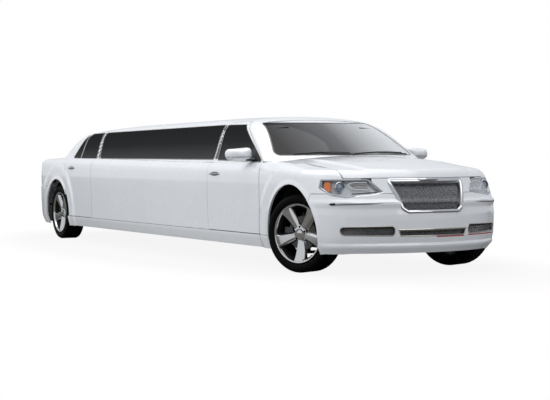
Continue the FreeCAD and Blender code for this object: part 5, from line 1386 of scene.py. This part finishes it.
def cushion(size, channels=(), crown=0.022, radius=0.035, steps=18):
    """A crowned cushion about the origin: rounded and piped edges, channels stitched across X, small creases."""
    half = np.array(size) / 2
    a, b = (g.ravel() for g in np.meshgrid(np.linspace(-1, 1, steps), np.linspace(-1, 1, steps), indexing="ij"))
    faces, points = [], []
    for axis in range(3):
        for way in (-1, 1):
            side = np.zeros((steps * steps, 3))
            side[:, axis], side[:, (axis + 1) % 3], side[:, (axis + 2) % 3] = way, a, b
            faces.append(grid_faces(steps, steps, other_way=True) + len(points) * steps * steps)
            points.append(side)
    cube = np.concatenate(points)
    core = np.clip(cube * half, -(half - radius), half - radius)
    away = cube * half - core
    away = away / np.maximum(np.linalg.norm(away, axis=1)[:, None], 1e-9)
    v = core + away * radius
    swell = (1 - cube[:, 0] ** 4) * (1 - cube[:, 1] ** 4)
    up = np.sign(cube[:, 2]) * (np.abs(cube[:, 2]) > 0.99)
    v[:, 2] += up * crown * swell
    for at in channels:
        v[:, 2] -= up * 0.010 * np.exp(-((cube[:, 0] - at) / 0.035) ** 2) * np.sqrt(np.maximum(swell, 0))
    v[:, 2] -= up * 0.003 * np.exp(-((np.abs(cube[:, :2]).max(1) - 0.90) / 0.02) ** 2)
    crease = sum(np.sin(v @ k + phase) for k, phase in waves) / 7
    return v + away * (0.0016 * crease)[:, None], np.concatenate(faces)


def turned(sheet, angle, centre, axis=1):
    """A sheet leaned about the Y axis, or about X, then moved to its place."""
    v, t = sheet
    c, s = math.cos(angle), math.sin(angle)
    if axis == 1:
        v = np.stack([v[:, 0] * c + v[:, 2] * s, v[:, 1], -v[:, 0] * s + v[:, 2] * c], 1)
    else:
        v = np.stack([v[:, 0], v[:, 1] * c - v[:, 2] * s, v[:, 1] * s + v[:, 2] * c], 1)
    return v + np.array(centre), t


def soft(name, sheet, replaces=()):
    """A padded leather piece, welded where its faces meet."""
    thing = made(name, sheet, leather, 60)
    work = bmesh.new()
    work.from_mesh(thing.data)
    bmesh.ops.remove_doubles(work, verts=work.verts, dist=0.0004)
    bmesh.ops.recalc_face_normals(work, faces=work.faces)
    work.to_mesh(thing.data)
    work.free()
    thing.data.shade_smooth()
    set_on(thing, "body", replaces)


def prism_sheet(outline, axes, low, high, ease=0.004):
    """An outline run between two values of the third axis, its end edges softened."""
    line = closed_line(outline)
    lean = unit(line.mean(0) - line)
    rings = []
    for at, inset in ((low, ease), (low + ease, 0), (high - ease, 0), (high, ease)):
        ring_points = np.zeros((len(line), 3))
        ring_points[:, axes[0]], ring_points[:, axes[1]] = (line + lean * inset).T
        ring_points[:, 3 - axes[0] - axes[1]] = at
        rings.append(ring_points)
    return band(rings)


SEAT_X, SEAT_Y, FLOOR_TOP = 1.660, 0.46, 0.238
SEAT_LEAN, THREE_CHANNELS = -math.pi / 2 - 0.16, (-0.4, 0, 0.4)
for letter, sign in SIDES:
    y = sign * SEAT_Y
    soft("front_seat_base_" + letter, turned(cushion((0.46, 0.50, 0.15), (-0.35, 0, 0.35)), -0.03,
                                             (SEAT_X + 0.30, y, 0.415)), ["front_seats"])
    soft("front_seat_back_" + letter, turned(cushion((0.60, 0.48, 0.13), (-0.5, -0.15, 0.2, 0.55)), SEAT_LEAN,
                                             (SEAT_X + 0.045, y, 0.765)))
    soft("front_headrest_" + letter, turned(cushion((0.15, 0.24, 0.085), (), 0.012, 0.032), SEAT_LEAN,
                                            (SEAT_X - 0.025, y, 1.135)))
    base_side = [(SEAT_X + 0.08, FLOOR_TOP, 0.01), (SEAT_X + 0.50, FLOOR_TOP, 0.01), (SEAT_X + 0.48, 0.345, 0.02),
                 (SEAT_X + 0.08, 0.345, 0.02)]
    base = prism_sheet(base_side, (0, 2), y - 0.21, y + 0.21)
    posts = [turned(shaft(0.006, 0, 0.10, 12), -0.16, (SEAT_X + 0.010, y + o, 1.03)) for o in (-0.06, 0.06)]
    seated("front_seat_frame_" + letter, together(base, *posts), soft_black, "body")
BENCH_START, BENCH_STOP, BENCH_SEATS, BACK_LEAN = -1.545, 1.165, 6, 1.38
pitch = (BENCH_STOP - BENCH_START) / BENCH_SEATS
for i in range(BENCH_SEATS):
    x = BENCH_START + pitch * (i + 0.5)
    seat = cushion((pitch - 0.006, 0.34, 0.13), (-0.5, 0, 0.5), 0.016)
    soft("lounge_cushion_%d" % (i + 1), moved(seat, x, 0.515, 0.420), ["lounge_seats"])
    back = cushion((pitch - 0.006, 0.42, 0.10), (-0.5, 0, 0.5), 0.014)
    soft("lounge_back_%d" % (i + 1), turned(back, BACK_LEAN, (x, 0.735, 0.665), axis=0))
bench_end = [(0.365, FLOOR_TOP, 0.01), (0.812, FLOOR_TOP, 0.01), (0.812, 0.86, 0.01), (0.785, 0.86, 0.01),
             (0.690, 0.46, 0.02), (0.655, 0.355, 0.01), (0.365, 0.355, 0.01)]
seated("lounge_base", prism_sheet(bench_end, (1, 2), BENCH_START, BENCH_STOP), soft_black, "body")
for i, y in enumerate((-0.215, 0.215)):
    seat = cushion((0.46, 0.42, 0.12), THREE_CHANNELS, 0.016)
    soft("rear_cushion_%d" % (i + 1), moved(seat, -2.925, y, 0.510))
    back = cushion((0.50, 0.42, 0.085), THREE_CHANNELS, 0.012)
    soft("rear_back_%d" % (i + 1), turned(back, -math.pi / 2 - 0.10, (-3.175, y, 0.755)))

# ---- dashboard
# A soft black moulding over steel, with a hooded instrument place, a gloss panel in its middle and four round vents
# with bright rings. It is screwed to the cowl.
dash_end = [(2.822, 0.700, 0.01), (2.822, 0.975, 0.03), (2.600, 0.984, 0.06), (2.465, 0.945, 0.05),
            (2.440, 0.880, 0.04), (2.475, 0.700, 0.03)]
hood_end = [(2.640, 0.960, 0.01), (2.470, 0.990, 0.02), (2.430, 0.960, 0.02), (2.445, 0.930, 0.01)]
dash = prism_sheet(dash_end, (0, 2), -0.750, 0.750, ease=0.012)
seated("dashboard_skin", together(dash, prism_sheet(hood_end, (0, 2), 0.225, 0.535, ease=0.03)), soft_black, "body",
       ["dashboard"])
vent_ring = [(-0.002, -0.006), (-0.002, 0.010), (0.003, 0.010), (0.003, -0.006)]
vents = [hoop((2.434, y, 0.862), radius, vent_ring, 40) for y in (-0.66, -0.10, 0.10, 0.66)
         for radius in (0.040, 0.028, 0.016)]
seated("dashboard_vents", together(*vents), soft_chrome, "body")
seated("dashboard_centre", prism_sheet([(-0.135, 0.760, 0.02), (0.135, 0.760, 0.02), (0.135, 0.930, 0.02),
                                        (-0.135, 0.930, 0.02)], (1, 2), 2.436, 2.470), gloss_black, "body")

# ---- steering wheel
# A leather-wrapped steel ring on three spokes round a padded boss, stitched along its inside, at the end of a column
# that runs down through the dashboard.
stitch = finish_of("seat_stitching", "#8E8A82", "#A39E95", 60.0, rough=(0.6, 0.8), bump=0.0001, bump_scale=900)
COLUMN_LEAN, WHEEL_PLACE = math.radians(-66), (2.285, 0.380, 0.870)
grip = lathed([(0.182 + 0.0135 * math.cos(a), 0.0135 * math.sin(a))
               for a in circle(16)], 96)
pad = lathed([(0.0005, -0.022), (0.045, -0.020), (0.060, -0.010), (0.064, 0.004), (0.052, 0.014), (0.0005, 0.020)], 48)
wheel_spokes = []
for a in (0, math.pi, math.pi * 1.5):
    c, s = math.cos(a + math.pi / 2), math.sin(a + math.pi / 2)
    rings = []
    for r, w in ((0.050, 0.030), (0.10, 0.018), (0.15, 0.015), (0.178, 0.020)):
        local = [(-w, -0.006), (w, -0.006), (w * 0.9, 0.004), (0, 0.007), (-w * 0.9, 0.004)]
        rings.append([(r * c - y * s, r * s + y * c, z) for y, z in local])
    wheel_spokes.append(band(rings))
on_column = lambda sheet: turned(sheet, COLUMN_LEAN, WHEEL_PLACE)
column = shaft(0.024, -0.195, -0.015, 32)
seated("steering_wheel_rim", on_column(together(grip, pad, *wheel_spokes, column)), soft_black, "body",
       ["steering_wheel"])
stitching = lathed([(0.1685, -0.0008), (0.1678, 0.0), (0.1685, 0.0008), (0.1692, 0.0)], 72)
seated("steering_wheel_stitching", on_column(stitching), stitch, "body")

# ---- bar cabinet
# A long low cabinet in lacquered walnut along the right side, with six doors, plated knobs and a plated rail on posts
# along its top. It is screwed to the floor.
wood = finish_of("lacquered_walnut", "#2A120A", "#4A2412", 3.0, rough=(0.10, 0.18), stretch=(1.0, 9.0, 9.0),
                 sockets=[("Coat Weight", 0.8)])
DOORS, DOOR_PITCH = 6, 0.385
cabinet = prism_sheet([(-0.812, FLOOR_TOP, 0.004), (-0.812, 0.852, 0.02), (-0.568, 0.852, 0.035),
                       (-0.568, FLOOR_TOP, 0.004)], (1, 2), -1.175, 1.165)
door = prism_sheet([(-1.150, 0.300, 0.01), (-0.790, 0.300, 0.01), (-0.790, 0.740, 0.01), (-1.150, 0.740, 0.01)],
                   (0, 2), -0.569, -0.563)
doors = repeated("cabinet_door", door, wood, DOORS, step=(DOOR_PITCH, 0, 0))
seated("bar_cabinet_case", together(cabinet, doors), wood, "body", ["bar_cabinet"])
knob = lathed([(0.0005, 0), (0.006, 0), (0.006, 0.006), (0.010, 0.010), (0.010, 0.014), (0.0005, 0.016)], 20)
facing_left = lambda sheet: (np.stack([sheet[0][:, 0], sheet[0][:, 2], sheet[0][:, 1]], 1), sheet[1])
knobs = repeated("cabinet_knob", moved(facing_left(knob), -0.83, -0.563, 0.56), chrome, DOORS, step=(DOOR_PITCH, 0, 0))
along_car = lambda sheet: (np.stack([sheet[0][:, 2], sheet[0][:, 0], sheet[0][:, 1]], 1), sheet[1])
rail = moved(along_car(shaft(0.006, -1.15, 1.14, 16)), 0.0, -0.585, 0.872)
posts = repeated("rail_post", moved(shaft(0.004, 0.848, 0.872, 12), -1.12, -0.585), chrome, 8, step=(0.32, 0, 0))
seated("bar_cabinet_brightwork", together(knobs, rail, posts), chrome, "body")

# ---- underbody, engine bay and cabin shell finishes
# Floor, liners, frames and running gear keep their solid forms: sprayed sealer under the car, felt in the arches,
# cast alloy and stainless steel on the running gear, carpet and trim board inside.
carpet = finish_of("cabin_carpet", "#101012", "#1C1C1F", 160.0, rough=(0.85, 0.98), bump=0.0015, bump_scale=420)
under_coat = finish_of("underbody_coat", "#0C0C0D", "#171718", 20.0, rough=(0.75, 0.9), bump=0.0012, bump_scale=240)
liner_felt = finish_of("liner_felt", "#060606", "#0D0D0D", 60.0, rough=(0.9, 0.98), bump=0.0008, bump_scale=300)
cast_metal = finish_of("cast_alloy", "#55565A", "#6E7074", 40.0, rough=(0.45, 0.6), metallic=0.9, bump=0.0006,
                       bump_scale=300)
exhaust_metal = finish_of("exhaust_steel", "#7B7974", "#98958F", 12.0, rough=(0.22, 0.36), metallic=1.0, bump=0.0002,
                          bump_scale=260)
trim_board = finish_of("divider_trim", "#15151A", "#202027", 40.0, rough=(0.7, 0.85), bump=0.0005, bump_scale=500)
for look, nodes in ((carpet, ("floor_pan", "boot_floor", "rear_bulkhead")), (trim_board, ("parcel_shelf", "partition")),
                    (liner_felt, ("wheel_liners",)), (cast_metal, ("engine", "knuckle_L", "knuckle_R")),
                    (under_coat, ("front_subframe", "rear_subframe", "propeller_shaft", "radiator")),
                    (exhaust_metal, ("exhaust",)), (black_trim, ("cowl",))):
    for node in nodes:
        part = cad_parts[node]
        part.data.materials.clear()
        part.data.materials.append(look)

# ---- studio
# A white floor that keeps a soft shadow, which bright trim sees as dark ground, under a pale surround: a wide lamp
# overhead, a long one at the car's right, a small one ahead, and a camera with a long lens off the right front corner.
floor_mesh = bpy.data.meshes.new("studio_floor")
FAR = 300
floor_mesh.from_pydata([(-FAR, -FAR, 0), (FAR, -FAR, 0), (FAR, FAR, 0), (-FAR, FAR, 0)], [], [(0, 1, 2, 3)])
floor = bpy.data.objects.new("studio_floor", floor_mesh)
bpy.context.scene.collection.objects.link(floor)
floor_paint, tree, shader, place = new_material("pale_floor")
shader.inputs["Roughness"].default_value = 0.9
shader.inputs["Specular IOR Level"].default_value = 0.0
white = add_node(tree, "ShaderNodeEmission", [("Color", (1, 1, 1, 1)), ("Strength", 1.0)])
path = tree.nodes.new("ShaderNodeLightPath")
shade = add_node(tree, "ShaderNodeMix", [("Factor", path.outputs["Is Glossy Ray"])], data_type="RGBA")
shade.inputs["A"].default_value = (0.42, 0.42, 0.42, 1)
shade.inputs["B"].default_value = (0.16, 0.155, 0.15, 1)
tree.links.new(shade.outputs["Result"], shader.inputs["Base Color"])
near = add_node(tree, "ShaderNodeVectorMath", [(0, place)], operation="MULTIPLY")
near.inputs[1].default_value = (0.155, 0.42, 0)
reach = add_node(tree, "ShaderNodeVectorMath", [(0, near.outputs[0])], operation="LENGTH")
fade = add_node(tree, "ShaderNodeMapRange", [("Value", reach.outputs["Value"]), ("From Min", 0.70), ("From Max", 0.98),
                                             ("To Min", 0.90), ("To Max", 1.0)], interpolation_type="SMOOTHSTEP")
seen = add_node(tree, "ShaderNodeMath", [(0, path.outputs["Is Camera Ray"]), (1, fade.outputs[0])],
                operation="MULTIPLY")
mixed = add_node(tree, "ShaderNodeMixShader", [(0, seen.outputs[0]), (1, shader.outputs[0]), (2, white.outputs[0])])
tree.links.new(mixed.outputs[0], tree.nodes["Material Output"].inputs["Surface"])
floor_mesh.materials.append(floor_paint)

world = bpy.data.worlds.new("studio")
bpy.context.scene.world = world
world.use_nodes = True
tree = world.node_tree
ground = tree.nodes["Background"]
ground.inputs["Color"].default_value = (0.80, 0.84, 0.90, 1)
ground.inputs["Strength"].default_value = 0.40
bright = add_node(tree, "ShaderNodeBackground", [("Color", (1, 1, 1, 1)), ("Strength", 1.0)])
path = tree.nodes.new("ShaderNodeLightPath")
seen = add_node(tree, "ShaderNodeMath", [(0, path.outputs["Is Camera Ray"]), (1, path.outputs["Is Transmission Ray"])],
                operation="MAXIMUM")
sheen = add_node(tree, "ShaderNodeBackground", [("Color", (0.92, 0.95, 1.0, 1)), ("Strength", 0.72)])
lit = add_node(tree, "ShaderNodeMixShader", [(0, path.outputs["Is Glossy Ray"]), (1, ground.outputs[0]),
                                             (2, sheen.outputs[0])])
mixed = add_node(tree, "ShaderNodeMixShader", [(0, seen.outputs[0]), (1, lit.outputs[0]), (2, bright.outputs[0])])
tree.links.new(mixed.outputs[0], tree.nodes["World Output"].inputs["Surface"])


def lamp(name, place, aim, size, power):
    """A soft square lamp turned to a point."""
    data = bpy.data.lights.new(name, "AREA")
    data.shape = "RECTANGLE"
    data.size, data.size_y = size
    data.energy = power
    made = bpy.data.objects.new(name, data)
    made.location = place
    made.rotation_euler = (Vector(aim) - Vector(place)).to_track_quat("-Z", "Y").to_euler()
    bpy.context.scene.collection.objects.link(made)
    return made


lamp("overhead", (2, 0, 8), (2, 0, 0), (14, 8), 580)
side_lamp = lamp("right_side", (-1, -12, 7.0), (0, 0, 0.9), (16, 4), 1020)
side_lamp.visible_glossy = False
lamp("front", (13, 3, 4), (3, 0, 0.6), (5, 4), 130)

CAMERA = (13.934, -6.554, 0.983)
AZIMUTH, ELEVATION, ROLL = math.radians(62.58), math.radians(1.59), math.radians(-0.43)
FRAME_WIDE, FOCAL, AIM_OFF, SENSOR = 550, 1333.9, -1.16, 36.0
camera_data = bpy.data.cameras.new("camera")
camera_data.sensor_width = SENSOR
camera_data.lens = FOCAL / FRAME_WIDE * SENSOR
camera_data.shift_x = AIM_OFF / FRAME_WIDE
camera_data.clip_end = 800
camera = bpy.data.objects.new("camera", camera_data)
ahead = Vector((-math.sin(AZIMUTH) * math.cos(ELEVATION), math.cos(AZIMUTH) * math.cos(ELEVATION),
                -math.sin(ELEVATION)))
right = Vector((math.cos(AZIMUTH), math.sin(AZIMUTH), 0))
up = right.cross(ahead)
turned_right = right * math.cos(ROLL) + up * math.sin(ROLL)
turned_up = up * math.cos(ROLL) - right * math.sin(ROLL)
camera.matrix_world = Matrix(((turned_right.x, turned_up.x, -ahead.x, CAMERA[0]),
                              (turned_right.y, turned_up.y, -ahead.y, CAMERA[1]),
                              (turned_right.z, turned_up.z, -ahead.z, CAMERA[2]), (0, 0, 0, 1)))
bpy.context.scene.collection.objects.link(camera)
bpy.context.scene.camera = camera
bpy.context.scene.view_settings.view_transform = "Standard"
